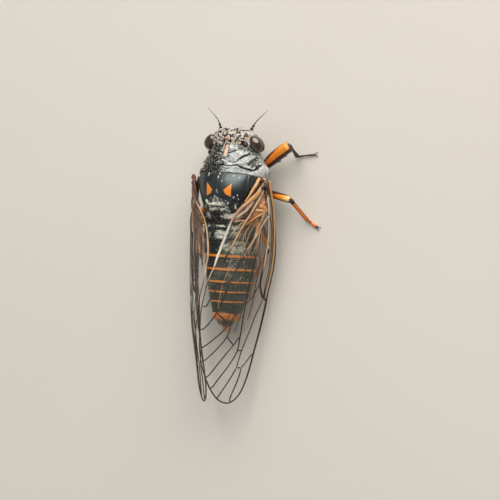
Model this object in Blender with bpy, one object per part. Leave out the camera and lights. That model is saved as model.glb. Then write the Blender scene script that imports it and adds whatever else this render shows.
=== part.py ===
"""Dimissalna dimissa, a small black and orange cicada, as a still life-size model.

The cicada stands on the floor with its wings closed over the abdomen like a roof. Its
left fore and middle legs are drawn in under the body, as in the photo.
Its head points to -Y, +Z is up, and the animal's right side is at -X.
Sizes are in millimetres and turned to metres where a point is made. A place is given
as (right, back, high): millimetres to the animal's right, behind the front of the
head, and above the floor.
"""
from math import asin, cos, hypot, pi, radians, sin

import bmesh
import bpy
from mathutils import Vector
from mathutils.geometry import delaunay_2d_cdt

MM = 0.001
GAP = 0.3                      # thin cut between neighbouring pieces

# Whole animal
BODY_LENGTH = 23.0             # front of the head to the anal tube
WING_TIP_BACK = 30.8           # the forewings reach past the abdomen
ANTENNA_TIP_BACK = -2.0
ORIGIN_BACK = (WING_TIP_BACK + ANTENNA_TIP_BACK) / 2
RIGHT_REACH = 9.375            # the right middle foot
LEFT_REACH = 6.225             # the left fore foot
ORIGIN_RIGHT = (RIGHT_REACH - LEFT_REACH) / 2

# Head
HEAD_CENTRE = (0.0, 1.5, 4.0)
HEAD_SIZE = (2.75, 1.35, 1.7)  # half width, half length, half height
EYE_CENTRE = (2.84, 1.75, 4.1)
EYE_SIZE = (0.92, 1.05, 0.98)
CLYPEUS_CENTRE = (0.0, 0.8, 3.05)
CLYPEUS_SIZE = (1.3, 1.2, 1.6)
CLYPEUS_GROOVES = 7
OCELLUS_RADIUS = 0.17

# Trunk: the places along it of the thin cuts
PRONOTUM = (3.15, 5.15)
MESONOTUM = (5.45, 9.75)
METANOTUM = (10.05, 10.85)
SEGMENT_CUTS = (11.0, 12.6, 14.4, 16.0, 17.3, 18.5, 19.6, 20.9, 21.8)
ANAL_TUBE_RADIUS = 0.42

# Trunk outline: back, half width, underside, widest height, top
TRUNK = (
    (2.6, 2.60, 1.60, 3.60, 5.60),
    (3.4, 3.05, 1.45, 3.60, 5.95),
    (4.4, 3.55, 1.45, 3.60, 6.40),
    (5.3, 3.90, 1.45, 3.70, 6.70),
    (6.2, 3.75, 1.45, 3.90, 7.05),
    (7.2, 3.60, 1.45, 4.00, 7.15),
    (8.2, 3.25, 1.45, 4.00, 7.00),
    (9.0, 2.95, 1.50, 3.95, 6.70),
    (10.0, 2.80, 1.55, 3.80, 6.20),
    (11.0, 2.95, 1.60, 3.70, 5.85),
    (12.6, 3.05, 1.60, 3.55, 5.75),
    (14.4, 2.95, 1.45, 3.40, 5.60),
    (16.0, 2.75, 1.50, 3.35, 5.35),
    (17.3, 2.55, 1.60, 3.30, 5.10),
    (18.5, 2.30, 1.75, 3.30, 4.80),
    (19.6, 2.05, 1.95, 3.25, 4.55),
    (20.9, 1.60, 2.20, 3.25, 4.25),
    (21.8, 1.15, 2.40, 3.20, 4.00),
)
HINDMOST_SECTION = 21.8

# Legs: where each piece ends, and how thick it is
SOLE = 0.0
LEGS = {
    "fore": {
        "coxa": (2.0, 4.4, 1.75), "hip": (2.85, 4.2, 2.05), "knee": (6.6, 1.8, 3.2),
        "ankle": (6.1, 2.85, 0.55), "toe": (8.4, 2.5, 0.25),
        "femur": (0.36, 0.66, 0.62, 0.42), "tibia": 0.27,
    },
    "mid": {
        "coxa": (2.0, 7.0, 1.65), "hip": (2.95, 7.0, 1.85), "knee": (7.0, 7.8, 2.9),
        "ankle": (7.94, 9.9, 0.55), "toe": (9.3, 10.75, 0.25),
        "femur": (0.30, 0.42, 0.42, 0.34), "tibia": 0.27,
    },
    "hind": {
        "coxa": (1.6, 9.7, 1.55), "hip": (2.3, 10.0, 1.40), "knee": (3.9, 13.4, 1.45),
        "ankle": (1.4, 17.2, 0.55), "toe": (0.9, 18.9, 0.25),
        "femur": (0.28, 0.36, 0.36, 0.30), "tibia": 0.26,
    },
}
TUCKED = {                     # the left fore and middle legs
    "fore": {"knee": (3.9, 0.95, 1.3), "ankle": (5.3, 3.0, 0.55), "toe": (6.1, 4.1, 0.25)},
    "mid": {"knee": (5.25, 10.3, 1.5), "ankle": (5.6, 13.4, 0.55), "toe": (5.8, 14.9, 0.25)},
}
TIMBAL_CENTRE = (3.08, 10.72, 3.78)
TIMBAL_SIZE = (0.36, 0.48, 0.66)
TARSUS_RADIUS = 0.25

# Wings: a flat plan (back from the wing's base, out from its middle line) laid on a roof.
# Each row gives the plan's leading and trailing reference line and where they lie:
# x, lead y, right, high, trail y, right, high, bulge of the vane between them.
WING_BASE_BACK = 6.0
WING_THICKNESS = 0.46
VEIN_HEIGHT = 0.2
HINDWING_VEIN_HEIGHT = 0.12
VEIN_HALF_WIDTH = 0.24
HINDWING_DEPTH = 0.86          # how far the hindwing lies under the forewing
HINDWING_THICKNESS = 0.4
ROOF_RIGHT = (
    (0.0, 0.90, 4.62, 3.40, -0.40, 4.42, 4.60, 0.00),
    (1.5, 1.60, 4.80, 3.10, -1.20, 4.15, 5.30, 0.15),
    (3.0, 1.75, 4.90, 2.85, -2.20, 3.35, 6.15, 0.60),
    (6.1, 1.80, 4.99, 2.15, -4.10, 1.42, 6.50, 1.25),
    (8.7, 1.70, 4.87, 1.75, -5.20, 0.60, 6.90, 1.35),
    (11.9, 1.40, 4.30, 1.60, -6.85, -0.10, 7.95, 1.15),
    (13.4, 1.05, 4.02, 1.60, -7.30, -0.18, 8.30, 0.95),
    (16.4, 0.35, 3.55, 1.75, -7.55, -0.22, 8.55, 0.65),
    (19.0, -0.25, 3.10, 1.95, -7.30, -0.22, 8.30, 0.40),
    (21.8, -1.00, 2.60, 2.10, -7.10, -0.20, 7.75, 0.30),
    (24.8, -1.70, 2.00, 2.10, -7.00, -0.10, 7.00, 0.20),
)
ROOF_LEFT = (
    (0.0, 0.90, 4.62, 3.40, -0.40, 4.42, 4.60, 0.00),
    (1.5, 1.60, 4.80, 3.10, -1.20, 4.15, 5.30, 0.15),
    (3.0, 1.75, 4.90, 2.85, -2.20, 3.35, 6.15, 0.60),
    (6.1, 1.80, 5.05, 2.15, -4.10, 1.50, 6.45, 1.25),
    (8.7, 1.70, 5.10, 1.75, -5.20, 0.90, 6.80, 1.35),
    (11.9, 1.40, 4.95, 1.60, -6.85, 0.62, 7.75, 1.15),
    (13.4, 1.05, 4.80, 1.60, -7.30, 0.70, 8.10, 0.95),
    (16.4, 0.35, 4.35, 1.75, -7.55, 0.74, 8.35, 0.65),
    (19.0, -0.25, 3.75, 1.95, -7.30, 0.72, 8.10, 0.40),
    (21.8, -1.00, 2.95, 2.10, -7.10, 0.55, 7.55, 0.30),
    (24.8, -1.70, 2.15, 2.10, -7.00, 0.35, 6.80, 0.20),
)
FOREWING_OUTLINE = (
    (0.0, 0.9), (1.2, 1.55), (3.0, 1.75), (6.0, 1.8), (8.5, 1.7), (11.0, 1.5), (13.0, 1.15),
    (15.0, 0.72), (17.5, 0.12), (20.0, -0.5), (22.0, -1.15), (23.5, -1.85), (24.4, -2.7),
    (24.8, -3.6), (24.7, -4.5), (24.2, -5.3), (23.2, -6.0), (21.8, -6.6), (20.0, -7.05),
    (18.0, -7.35), (16.0, -7.5), (14.3, -7.4), (12.5, -7.0), (11.0, -6.4), (9.8, -5.75),
    (8.5, -5.1), (6.8, -4.4), (5.0, -3.35), (3.5, -2.45), (1.5, -1.2), (0.0, -0.4),
)
FOREWING_VEINS = {
    "costa": ((0.5, 0.95), (1.4, 1.38), (3, 1.5), (6, 1.55), (8.5, 1.45), (11, 1.22), (13, 0.8)),
    "radius": ((0.6, 0.25), (1.8, 0.8), (3.6, 0.98), (6.2, 1.02), (8.8, 0.93), (11, 0.75), (13, 0.5)),
    "media": ((3.6, 0.98), (4.6, 0.6), (6.5, 0.4), (9, 0.1), (11.3, -0.2), (12.2, 0.1), (13, 0.5)),
    "radial_sector": ((13, 0.5), (13.8, 0.05), (15, -0.6), (16.6, -1.2), (18.8, -2), (20.8, -2.6)),
    "anterior_radius": ((19.2, -0.45), (20, -1.2), (20.8, -1.95)),
    "radial_cross": ((20.8, -1.95), (20.8, -2.6)),
    "apical_1": ((20.8, -1.95), (21.6, -2.15), (22.8, -2.65), (24.4, -3.4)),
    "apical_2": ((20.8, -2.6), (21.6, -3.1), (22.8, -3.95), (24.1, -4.95)),
    "media_cross": ((18.8, -2), (18.9, -2.6)),
    "media_1": ((13.2, -2.05), (15, -2.3), (17.2, -2.45), (18.9, -2.6), (20.4, -3.5), (22, -4.8),
                (23.1, -5.7)),
    "media_2": ((17.2, -2.45), (18, -3), (19.2, -3.95), (20.6, -5.1), (21.9, -6.2)),
    "media_stem": ((3.6, 0.98), (4.6, 0.2), (6.6, -0.5), (8.6, -1.05), (10.6, -1.5), (13.2, -2.05)),
    "media_34": ((11.3, -0.2), (13, -1.4), (14.4, -3.1), (15.6, -3.8)),
    "media_3": ((15.6, -3.8), (17.4, -4.2), (19, -5.4), (20.2, -6.65)),
    "media_4": ((15.6, -3.8), (16.8, -4.8), (17.8, -5.8), (18.7, -6.9)),
    "median_cross": ((18.3, -3.2), (17.4, -4.2)),
    "cubitus": ((4.6, 0.2), (6.4, -1), (8.8, -2.3), (10, -3.3), (11.2, -4.2)),
    "cubitus_1": ((11.2, -4.2), (13, -5), (14.8, -5.7), (16.7, -7.1)),
    "cubitus_2": ((11.2, -4.2), (11.7, -5.2), (12.8, -6.2), (14.2, -6.95)),
    "cubital_cross": ((16, -4.15), (14.8, -5.7)),
    "claval": ((1.2, -0.2), (2.8, -0.9), (4.4, -1.9), (6, -2.95), (8, -4.1), (9.8, -5.2)),
}
HINDWING_OUTLINE = (
    (3.6, 0.1), (5.5, 0.35), (8.0, 0.35), (11.0, 0.1), (13.5, -0.25), (15.4, -0.6), (16.7, -1.2),
    (17.3, -2.1), (17.35, -3.1), (16.9, -4.1), (15.8, -5.0), (14.2, -5.4), (12.0, -5.1),
    (10.0, -4.4), (8.0, -3.7), (6.0, -2.9), (4.8, -2.0), (3.6, -1.0),
)
HINDWING_VEINS = {
    "costa": ((4, -0.1), (6, 0.05), (8.5, 0.05), (11, -0.2), (13.5, -0.55), (15.6, -1.1)),
    "radius": ((4, -0.4), (7, -0.7), (10, -1.1), (13, -1.7), (15, -2.2), (17, -2.9)),
    "media": ((7, -0.7), (9.5, -1.9), (12, -2.9), (14, -3.5), (16.3, -4.3)),
    "cubitus": ((4.4, -0.8), (6.5, -1.9), (9, -3), (11.5, -4), (13.8, -5)),
    "cross": ((13, -1.7), (12, -2.9), (11.5, -4)),
}


def place(right, back, high):
    """Return a point in metres from its place on the animal in millimetres."""
    return Vector((ORIGIN_RIGHT - right, back - ORIGIN_BACK, high)) * MM


def mirrored(spot, side):
    """Return a place on the given side, 1 for the animal's right and -1 for its left."""
    return (spot[0] * side, spot[1], spot[2])


def between(start, end, share):
    return tuple(a + (b - a) * share for a, b in zip(start, end))


def along(table, x):
    """Read a table of rows smoothly at x, its first column."""
    rows = len(table)
    k = 0
    while k < rows - 2 and x > table[k + 1][0]:
        k += 1
    start, end = table[k], table[k + 1]
    before, after = table[max(k - 1, 0)], table[min(k + 2, rows - 1)]
    width = end[0] - start[0]
    u = (x - start[0]) / width
    values = []
    for c in range(1, len(start)):
        rise_in = (end[c] - before[c]) / (end[0] - before[0]) * width
        rise_out = (after[c] - start[c]) / (after[0] - start[0]) * width
        values.append(start[c] * (2 * u**3 - 3 * u**2 + 1) + rise_in * (u**3 - 2 * u**2 + u)
                      + end[c] * (3 * u**2 - 2 * u**3) + rise_out * (u**3 - u**2))
    return values


def make_material(name, colour, roughness, metallic=0.0):
    material = bpy.data.materials.new(name)
    material.use_nodes = True
    shader = material.node_tree.nodes["Principled BSDF"]
    shader.inputs["Base Color"].default_value = (*colour, 1.0)
    shader.inputs["Roughness"].default_value = roughness
    shader.inputs["Metallic"].default_value = metallic
    return material


def make_object(name, points, faces, look, sharp=40):
    """Make one closed piece from points in metres, with its own material."""
    mesh = bpy.data.meshes.new(name)
    mesh.from_pydata(points, [], faces)
    shape = bmesh.new()
    shape.from_mesh(mesh)
    bmesh.ops.recalc_face_normals(shape, faces=shape.faces)
    shape.to_mesh(mesh)
    shape.free()
    mesh.shade_smooth()
    mesh.set_sharp_from_angle(angle=radians(sharp))
    piece = bpy.data.objects.new(name, mesh)
    bpy.context.scene.collection.objects.link(piece)
    colour, roughness = look
    mesh.materials.append(make_material(name, colour, roughness))
    return piece


def skin_rings(rings):
    """Join rings of points into a closed skin with flat ends."""
    points = [p for ring in rings for p in ring]
    count = len(rings[0])
    faces = [list(range(count)), list(range(len(points) - count, len(points)))]
    for r in range(len(rings) - 1):
        low, high = r * count, (r + 1) * count
        for k in range(count):
            turn = (k + 1) % count
            faces.append([low + k, low + turn, high + turn, high + k])
    return points, faces


def power(value, exponent):
    return abs(value) ** exponent * (1 if value >= 0 else -1)


def trunk_ring(back, count, inset=0.0, fullness=0.95, upper=None, cut=None):
    """Return a cross section of the trunk, whole or only above or below a level cut."""
    half, low, middle, top = along(TRUNK, back)
    if upper is None:
        turns = [2 * pi * k / count for k in range(count)]
    else:
        dip = asin(((middle - cut) / (middle - low - inset)) ** (1 / fullness))
        start, end = (-dip, pi + dip) if upper else (pi + dip, 2 * pi - dip)
        turns = [start + (end - start) * k / (count - 1) for k in range(count)]
    ring = []
    for turn in turns:
        reach = (top - middle if sin(turn) >= 0 else middle - low) - inset
        right = (half - inset) * power(cos(turn), fullness)
        ring.append(place(right, back, middle + reach * power(sin(turn), fullness)))
    return ring


def closed_segment(name, front, rear, look, steps=3, count=28):
    """A whole ring of the abdomen, with its hind margin standing a little proud."""
    rings = []
    for k in range(steps + 1):
        share = k / steps
        back = front + (rear - front) * share
        inset = 0.12 - 0.12 * min(share * 1.6, 1.0)
        rings.append(trunk_ring(back, count, inset, fullness=1.06))
    points, faces = skin_rings(rings)
    return make_object(name, points, faces, look)


def half_shell(name, front, rear, floor, look, upper=True, steps=6, count=21, bulge=None):
    """The upper or lower half of a stretch of the trunk, flat where the halves meet."""
    rings = []
    for k in range(steps + 1):
        back = front + (rear - front) * k / steps
        ring = trunk_ring(back, count, 0.0 if upper else 0.25, upper=upper, cut=floor)
        if bulge:
            ring = [bulge(p, back) for p in ring]
        rings.append(ring)
    points, faces = skin_rings(rings)
    return make_object(name, points, faces, look)


def ellipsoid(name, centre, size, look, segments=20, rings=12, shape=None):
    """A rounded body; shape may change the radius at a turn and a rise."""
    points = []
    for r in range(1, rings):
        rise = -pi / 2 + pi * r / rings
        for k in range(segments):
            turn = 2 * pi * k / segments
            swell = shape(turn, rise) if shape else 1.0
            offset = (cos(rise) * cos(turn) * swell, cos(rise) * sin(turn) * swell, sin(rise))
            points.append(place(*(c + s * o for c, s, o in zip(centre, size, offset))))
    points.append(place(centre[0], centre[1], centre[2] - size[2]))
    points.append(place(centre[0], centre[1], centre[2] + size[2]))
    low, high = len(points) - 2, len(points) - 1
    faces = []
    for k in range(segments):
        turn = (k + 1) % segments
        faces.append([low, k, turn])
        for r in range(rings - 2):
            a, b = r * segments, (r + 1) * segments
            faces.append([a + k, a + turn, b + turn, b + k])
        a = (rings - 2) * segments
        faces.append([a + k, a + turn, high])
    return make_object(name, points, faces, look)


def tube(name, spots, radii, look, sides=10, floor=None, flatten=1.0):
    """A tapered round bar through the given places, flattened on the floor if one is set."""
    path = [place(*spot) for spot in spots]
    rings = []
    side_way = None
    for k, centre in enumerate(path):
        ahead = (path[min(k + 1, len(path) - 1)] - path[max(k - 1, 0)]).normalized()
        if side_way is None:
            side_way = ahead.cross(Vector((0, 0, 1))).normalized()
        side_way = (side_way - ahead * side_way.dot(ahead)).normalized()
        up_way = side_way.cross(ahead)
        ring = []
        for s in range(sides):
            turn = 2 * pi * (s + 0.5) / sides
            point = centre + (side_way * cos(turn) * flatten + up_way * sin(turn)) * radii[k] * MM
            if floor is not None and point.z < floor * MM:
                point.z = floor * MM
            ring.append(point)
        rings.append(ring)
    points, faces = skin_rings(rings)
    return make_object(name, points, faces, look)


def limb(name, start, end, radii, look, sides=10):
    """A leg piece whose radii are spread along it and whose ends are rounded."""
    length = hypot(*(b - a for a, b in zip(start, end)))
    cap_in, cap_out = radii[0] * 0.5 / length, radii[-1] * 0.5 / length
    shares = [0.0, cap_in] + [k / (len(radii) - 1) for k in range(1, len(radii) - 1)]
    shares += [1 - cap_out, 1.0]
    widths = [radii[0] * 0.6, radii[0] * 0.96] + list(radii[1:-1])
    widths += [radii[-1] * 0.96, radii[-1] * 0.6]
    spots = [between(start, end, share) for share in shares]
    return tube(name, spots, widths, look, sides)


def apply_boolean(piece, tool, operation):
    """Cut piece with tool or fuse them, then remove the tool."""
    change = piece.modifiers.new(operation.lower(), "BOOLEAN")
    change.operation = operation
    change.object = tool
    change.solver = "EXACT"
    graph = bpy.context.evaluated_depsgraph_get()
    mesh = bpy.data.meshes.new_from_object(piece.evaluated_get(graph))
    piece.modifiers.remove(change)
    piece.data = mesh
    bpy.data.objects.remove(tool)
    keep_largest(piece)


def keep_largest(piece):
    """Keep only the largest closed surface of a piece."""
    shape = bmesh.new()
    shape.from_mesh(piece.data)
    shape.verts.ensure_lookup_table()
    seen, groups = set(), []
    for vertex in shape.verts:
        if vertex in seen:
            continue
        group, queue = [], [vertex]
        seen.add(vertex)
        while queue:
            current = queue.pop()
            group.append(current)
            for edge in current.link_edges:
                other = edge.other_vert(current)
                if other not in seen:
                    seen.add(other)
                    queue.append(other)
        groups.append(group)
    groups.sort(key=len)
    spare = [vertex for group in groups[:-1] for vertex in group]
    bmesh.ops.delete(shape, geom=spare, context="VERTS")
    shape.to_mesh(piece.data)
    shape.free()


def cut_away(piece, tool):
    apply_boolean(piece, tool, "DIFFERENCE")


def fuse(piece, tool):
    apply_boolean(piece, tool, "UNION")


# Colours, linear, with roughness
BLACK = ((0.012, 0.012, 0.013), 0.35)
GREY_BLACK = ((0.05, 0.05, 0.045), 0.6)
ORANGE = ((0.75, 0.20, 0.02), 0.45)
EYE_BROWN = ((0.05, 0.03, 0.025), 0.2)
TAN = ((0.35, 0.16, 0.07), 0.5)
WING_CLEAR = ((0.45, 0.40, 0.33), 0.25)


def build_head():
    """Broad head with the sockets of its eyes, the bulging face, and three ocelli."""
    def broad(turn, rise):
        return (abs(cos(turn)) ** 2.8 + abs(sin(turn)) ** 2.8) ** (-1 / 2.8)

    head = ellipsoid("head", HEAD_CENTRE, HEAD_SIZE, GREY_BLACK, 28, 14, broad)
    for side in (1, -1):
        socket = tuple(s + GAP for s in EYE_SIZE)
        cut_away(head, ellipsoid("socket", mirrored(EYE_CENTRE, side), socket, BLACK, 20, 12))
    face_room = tuple(s + GAP for s in CLYPEUS_SIZE)
    cut_away(head, ellipsoid("face_room", CLYPEUS_CENTRE, face_room, BLACK, 20, 12))
    top = HEAD_CENTRE[2] + HEAD_SIZE[2]
    for right, back in ((0.0, 1.15), (0.42, 1.85), (-0.42, 1.85)):
        spot = (right, back, top - 0.06)
        size = (OCELLUS_RADIUS,) * 3
        fuse(head, ellipsoid("ocellus", spot, size, ORANGE, 8, 6))
    for side in (1, -1):
        name = "eye_right" if side == 1 else "eye_left"
        ellipsoid(name, mirrored(EYE_CENTRE, side), EYE_SIZE, EYE_BROWN, 20, 12)

    def grooved(turn, rise):
        front = max(0.0, -sin(turn))
        return 1 - 0.035 * front * (1 - cos(rise * 2 * CLYPEUS_GROOVES)) / 2

    ellipsoid("clypeus", CLYPEUS_CENTRE, CLYPEUS_SIZE, GREY_BLACK, 20, 28, grooved)
    tube("rostrum", ((0, 2.0, 1.15), (0, 2.6, 0.95), (0, 4.5, 0.85), (0, 6.3, 0.8)),
         (0.27, 0.27, 0.25, 0.2), BLACK, 8)
    for side in (1, -1):
        name = "antenna_right" if side == 1 else "antenna_left"
        path = ((2.05, 0.05, 3.5), (2.2, -0.35, 3.55), (2.6, -0.8, 3.65), (3.1, -1.25, 3.75),
                (3.6, -1.65, 3.9), (4.0, ANTENNA_TIP_BACK + 0.05, 4.0))
        tube(name, [mirrored(p, side) for p in path], (0.26, 0.26, 0.22, 0.17, 0.12, 0.07), BLACK, 6)


def build_thorax():
    """Pronotum, mesonotum with its raised cross, metanotum, and the underside with the hips."""
    def pronotum_form(point, back):
        middle = abs(point.x / MM - ORIGIN_RIGHT)
        groove = 0.12 * max(0.0, 1 - abs(middle - 1.0 - 0.35 * (back - 3.0)) / 0.35)
        collar = 0.10 if back > PRONOTUM[1] - 0.35 else 0.0
        return point + Vector((0, 0, collar - groove)) * MM if point.z > 4.6 * MM else point

    half_shell("pronotum", *PRONOTUM, 3.15, GREY_BLACK, steps=7, count=29, bulge=pronotum_form)
    mesonotum = half_shell("mesonotum", *MESONOTUM, 3.55, BLACK, steps=8, count=25)
    for side in (1, -1):
        for end in ((1.25, 8.75, 6.6), (0.95, 9.55, 6.35)):
            arm = [between((0, 9.2, 6.62), mirrored(end, side), share) for share in (-0.15, 0.5, 1)]
            fuse(mesonotum, tube("arm", arm, (0.3, 0.28, 0.18), TAN, 8))
    timbal_rooms(half_shell("metanotum", *METANOTUM, 3.55, GREY_BLACK, steps=2, count=23))
    for name, leg, front, rear, floor in (
            ("prosternum", "fore", *PRONOTUM, 2.85), ("mesosternum", "mid", 5.45, 8.75, 3.25),
            ("metasternum", "hind", 9.05, METANOTUM[1], 3.25)):
        under = half_shell(name, front, rear, floor, GREY_BLACK, upper=False, steps=4, count=17)
        cut_away(under, tube("rostrum_room", ((0, 1.5, 1.0), (0, 7.0, 0.9)), (0.62, 0.6), BLACK, 10))
        for side in (1, -1):
            coxa = mirrored(LEGS[leg]["coxa"], side)
            fuse(under, ellipsoid("coxa", coxa, (0.85, 0.55, 0.55), BLACK, 12, 8))
        if name == "metasternum":
            timbal_rooms(under)


def timbal_rooms(piece):
    """Leave room for both timbals in the side of a piece."""
    for side in (1, -1):
        room = tuple(s + GAP for s in TIMBAL_SIZE)
        cut_away(piece, ellipsoid("timbal_room", mirrored(TIMBAL_CENTRE, side), room, BLACK, 16, 10))


def build_abdomen():
    """Ringed abdomen with the sound organs at its base and the tail at its end."""
    base = closed_segment("abdomen_base", SEGMENT_CUTS[0] + 0.15, SEGMENT_CUTS[1], GREY_BLACK)
    timbal_rooms(base)
    for side in (1, -1):
        def ribbed(turn, rise):
            return 1 - 0.06 * (1 - cos(8 * turn)) / 2

        name = "timbal_right" if side == 1 else "timbal_left"
        ellipsoid(name, mirrored(TIMBAL_CENTRE, side), TIMBAL_SIZE, TAN, 24, 8, ribbed)
        name = "operculum_right" if side == 1 else "operculum_left"
        ellipsoid(name, mirrored((1.75, 11.85, 0.95), side), (0.95, 0.75, 0.28), GREY_BLACK, 16, 6)
    for k in range(1, 7):
        look = GREY_BLACK if k < 6 else BLACK
        closed_segment(f"abdomen_segment_{k + 2}", SEGMENT_CUTS[k] + GAP, SEGMENT_CUTS[k + 1], look)
    pygofer = closed_segment("pygofer", SEGMENT_CUTS[7] + GAP, SEGMENT_CUTS[8], ORANGE)
    middle = along(TRUNK, HINDMOST_SECTION)[2]
    path = ((0, 21.3, middle + 0.1), (0, 22.5, middle), (0, BODY_LENGTH, middle - 0.1))
    fuse(pygofer, tube("anal_tube", path, (ANAL_TUBE_RADIUS, ANAL_TUBE_RADIUS, 0.3), ORANGE, 10))


def first_clear(start, toward, centre, distance):
    """Return the place on the line from start where it is the given distance off centre."""
    share = 0.0
    spot = start
    while hypot(*(a - b for a, b in zip(spot, centre))) < distance:
        share += 0.01
        spot = between(start, toward, share)
    return spot


def build_leg(leg, side):
    """Femur, tibia and tarsus, each a bar with a thin gap at the joint."""
    sizes = LEGS[leg] | (TUCKED.get(leg, {}) if side == -1 else {})
    side_name = "right" if side == 1 else "left"
    hip, knee = mirrored(sizes["hip"], side), mirrored(sizes["knee"], side)
    ankle, toe = mirrored(sizes["ankle"], side), mirrored(sizes["toe"], side)
    coxa = mirrored(sizes["coxa"], side)
    femur, shin = sizes["femur"], sizes["tibia"]
    start = first_clear(hip, knee, coxa, 1.15)
    limb(f"{leg}_femur_{side_name}", start, knee, femur, ORANGE)
    knee_ball = between(knee, start, femur[-1] / hypot(*(a - b for a, b in zip(knee, start))))
    below = first_clear(knee, ankle, knee_ball, femur[-1] + GAP * 1.4)
    limb(f"{leg}_tibia_{side_name}", below, ankle, (shin, shin, shin * 0.92, shin), ORANGE, 8)
    under = (ankle[0], ankle[1], TARSUS_RADIUS)
    start = first_clear(under, toe, ankle, shin * 0.6 + GAP * 1.4)
    spots = [between(start, toe, share) for share in (0, 0.12, 0.55, 0.85, 1)]
    radii = [TARSUS_RADIUS * share for share in (0.8, 1.15, 1.1, 1.1, 0.6)]
    tube(f"{leg}_tarsus_{side_name}", spots, radii, ORANGE, 8, floor=SOLE)


def resample(line, spacing, closed=False):
    """Spread points evenly along a line of plan points."""
    points = [Vector(p) for p in line]
    if closed:
        points.append(points[0])
    lengths = [(b - a).length for a, b in zip(points, points[1:])]
    count = max(2, round(sum(lengths) / spacing))
    result = []
    for k in range(count + (0 if closed else 1)):
        want = sum(lengths) * k / count
        piece = 0
        while piece < len(lengths) - 1 and want > lengths[piece]:
            want -= lengths[piece]
            piece += 1
        result.append(points[piece].lerp(points[piece + 1], want / lengths[piece]))
    return result


def distance_to_line(point, line):
    best = 1e9
    for a, b in zip(line, line[1:]):
        way = b - a
        share = min(1.0, max(0.0, (point - a).dot(way) / way.length_squared))
        best = min(best, (point - a - way * share).length)
    return best


def on_roof(roof, x, y, side):
    """Lay a point of the wing's plan on its side of the roof."""
    lead, lead_right, lead_high, trail, trail_right, trail_high, bulge = along(roof, x)
    share = (lead - y) / (lead - trail)
    across, up = trail_right - lead_right, trail_high - lead_high
    swell = 4 * share * (1 - share) * bulge / hypot(across, up)
    right = lead_right + share * across + up * swell
    high = lead_high + share * up - across * swell
    return place(side * right, WING_BASE_BACK + x, high)


def build_wing(name, outline, veins, roof, side, depth, thickness, vein_height, spacing):
    """A vane whose veins rise from its own surface, split alike on both faces."""
    rim = resample(outline, spacing * 0.9, closed=True)
    closed_rim = rim + [rim[0]]
    lines = [resample(vein, spacing) for vein in veins.values()]
    points = list(rim)
    edges = []
    for line in lines:
        first = len(points)
        for k, point in enumerate(line):
            twin = next((i for i, p in enumerate(points) if (p - point).length < 0.12), None)
            if twin is not None:
                line[k] = points[twin]
        numbers = []
        for point in line:
            known = next((i for i, p in enumerate(points) if (p - point).length < 0.001), None)
            if known is None:
                known = len(points)
                points.append(point)
            numbers.append(known)
        edges += [(a, b) for a, b in zip(numbers, numbers[1:]) if a != b]
    for line in lines:
        for k, point in enumerate(line):
            ahead = (line[min(k + 1, len(line) - 1)] - line[max(k - 1, 0)]).normalized()
            for hand in (1, -1):
                beside = point + Vector((-ahead.y, ahead.x)) * VEIN_HALF_WIDTH * hand
                near = min(distance_to_line(beside, other) for other in lines)
                crowd = min((beside - p).length for p in points)
                edge = distance_to_line(beside, closed_rim)
                if near > VEIN_HALF_WIDTH * 0.8 and crowd > 0.18 and edge > 0.2 and inside(beside, rim):
                    points.append(beside)
    span = [int(v / 1.5) for v in (min(p.x for p in rim), max(p.x for p in rim))]
    for i in range(span[0], span[1] + 2):
        for j in range(-6, 3):
            fill = Vector((i * 1.5 + 0.7 * (j % 2), j * 1.3))
            far = min((fill - p).length for p in points)
            if far > 0.75 and inside(fill, rim) and distance_to_line(fill, closed_rim) > 0.5:
                points.append(fill)
    flat, _, faces, *_ = delaunay_2d_cdt(points, edges, [list(range(len(rim)))], 1, 0.0001)
    top, bottom = [], []
    for spot in flat:
        near = min(distance_to_line(spot, line) for line in lines)
        ridge = vein_height * max(0.0, 1 - near / VEIN_HALF_WIDTH)
        here = on_roof(roof, spot.x, spot.y, side)
        way_back = on_roof(roof, spot.x + 0.05, spot.y, side) - here
        way_out = on_roof(roof, spot.x, spot.y + 0.05, side) - here
        outward = way_back.cross(way_out).normalized()
        if outward.x * -side < 0:
            outward = -outward
        middle = here - outward * depth * MM
        top.append(middle + outward * (thickness / 2 + ridge) * MM)
        bottom.append(middle - outward * thickness / 2 * MM)
    count = len(flat)
    skins = [list(face) for face in faces] + [[count + v for v in reversed(face)] for face in faces]
    uses = {}
    for face in faces:
        for a, b in zip(face, face[1:] + face[:1]):
            uses[(a, b)] = uses.get((a, b), 0) + 1
    for a, b in uses:
        if (b, a) not in uses:
            skins.append([b, a, count + a, count + b])
    return make_object(name, top + bottom, skins, WING_CLEAR, 60)


def inside(point, rim):
    """Tell whether a plan point lies inside the closed rim."""
    result = False
    for a, b in zip(rim, rim[1:] + rim[:1]):
        if (a.y > point.y) != (b.y > point.y):
            if point.x < a.x + (point.y - a.y) / (b.y - a.y) * (b.x - a.x):
                result = not result
    return result


def build_wings():
    for side, side_name, roof in ((1, "right", ROOF_RIGHT), (-1, "left", ROOF_LEFT)):
        build_wing(f"forewing_{side_name}", FOREWING_OUTLINE, FOREWING_VEINS, roof, side,
                   0.0, WING_THICKNESS, VEIN_HEIGHT, 1.15)
        build_wing(f"hindwing_{side_name}", HINDWING_OUTLINE, HINDWING_VEINS, roof, side,
                   HINDWING_DEPTH, HINDWING_THICKNESS, HINDWING_VEIN_HEIGHT, 1.3)


for old in list(bpy.data.objects):
    bpy.data.objects.remove(old)
build_head()
build_thorax()
build_abdomen()
for leg_name in LEGS:
    for leg_side in (1, -1):
        build_leg(leg_name, leg_side)
build_wings()
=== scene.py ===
"""The looks of a still, life-size cicada, Dimissalna dimissa, set on a plain pale floor.

A place is (right, back, high): millimetres to the animal's right, behind the front of its
head, and above the floor, as in the solids. All other sizes are in millimetres too.
"""

from math import cos, hypot, pi, radians, sin

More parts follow.
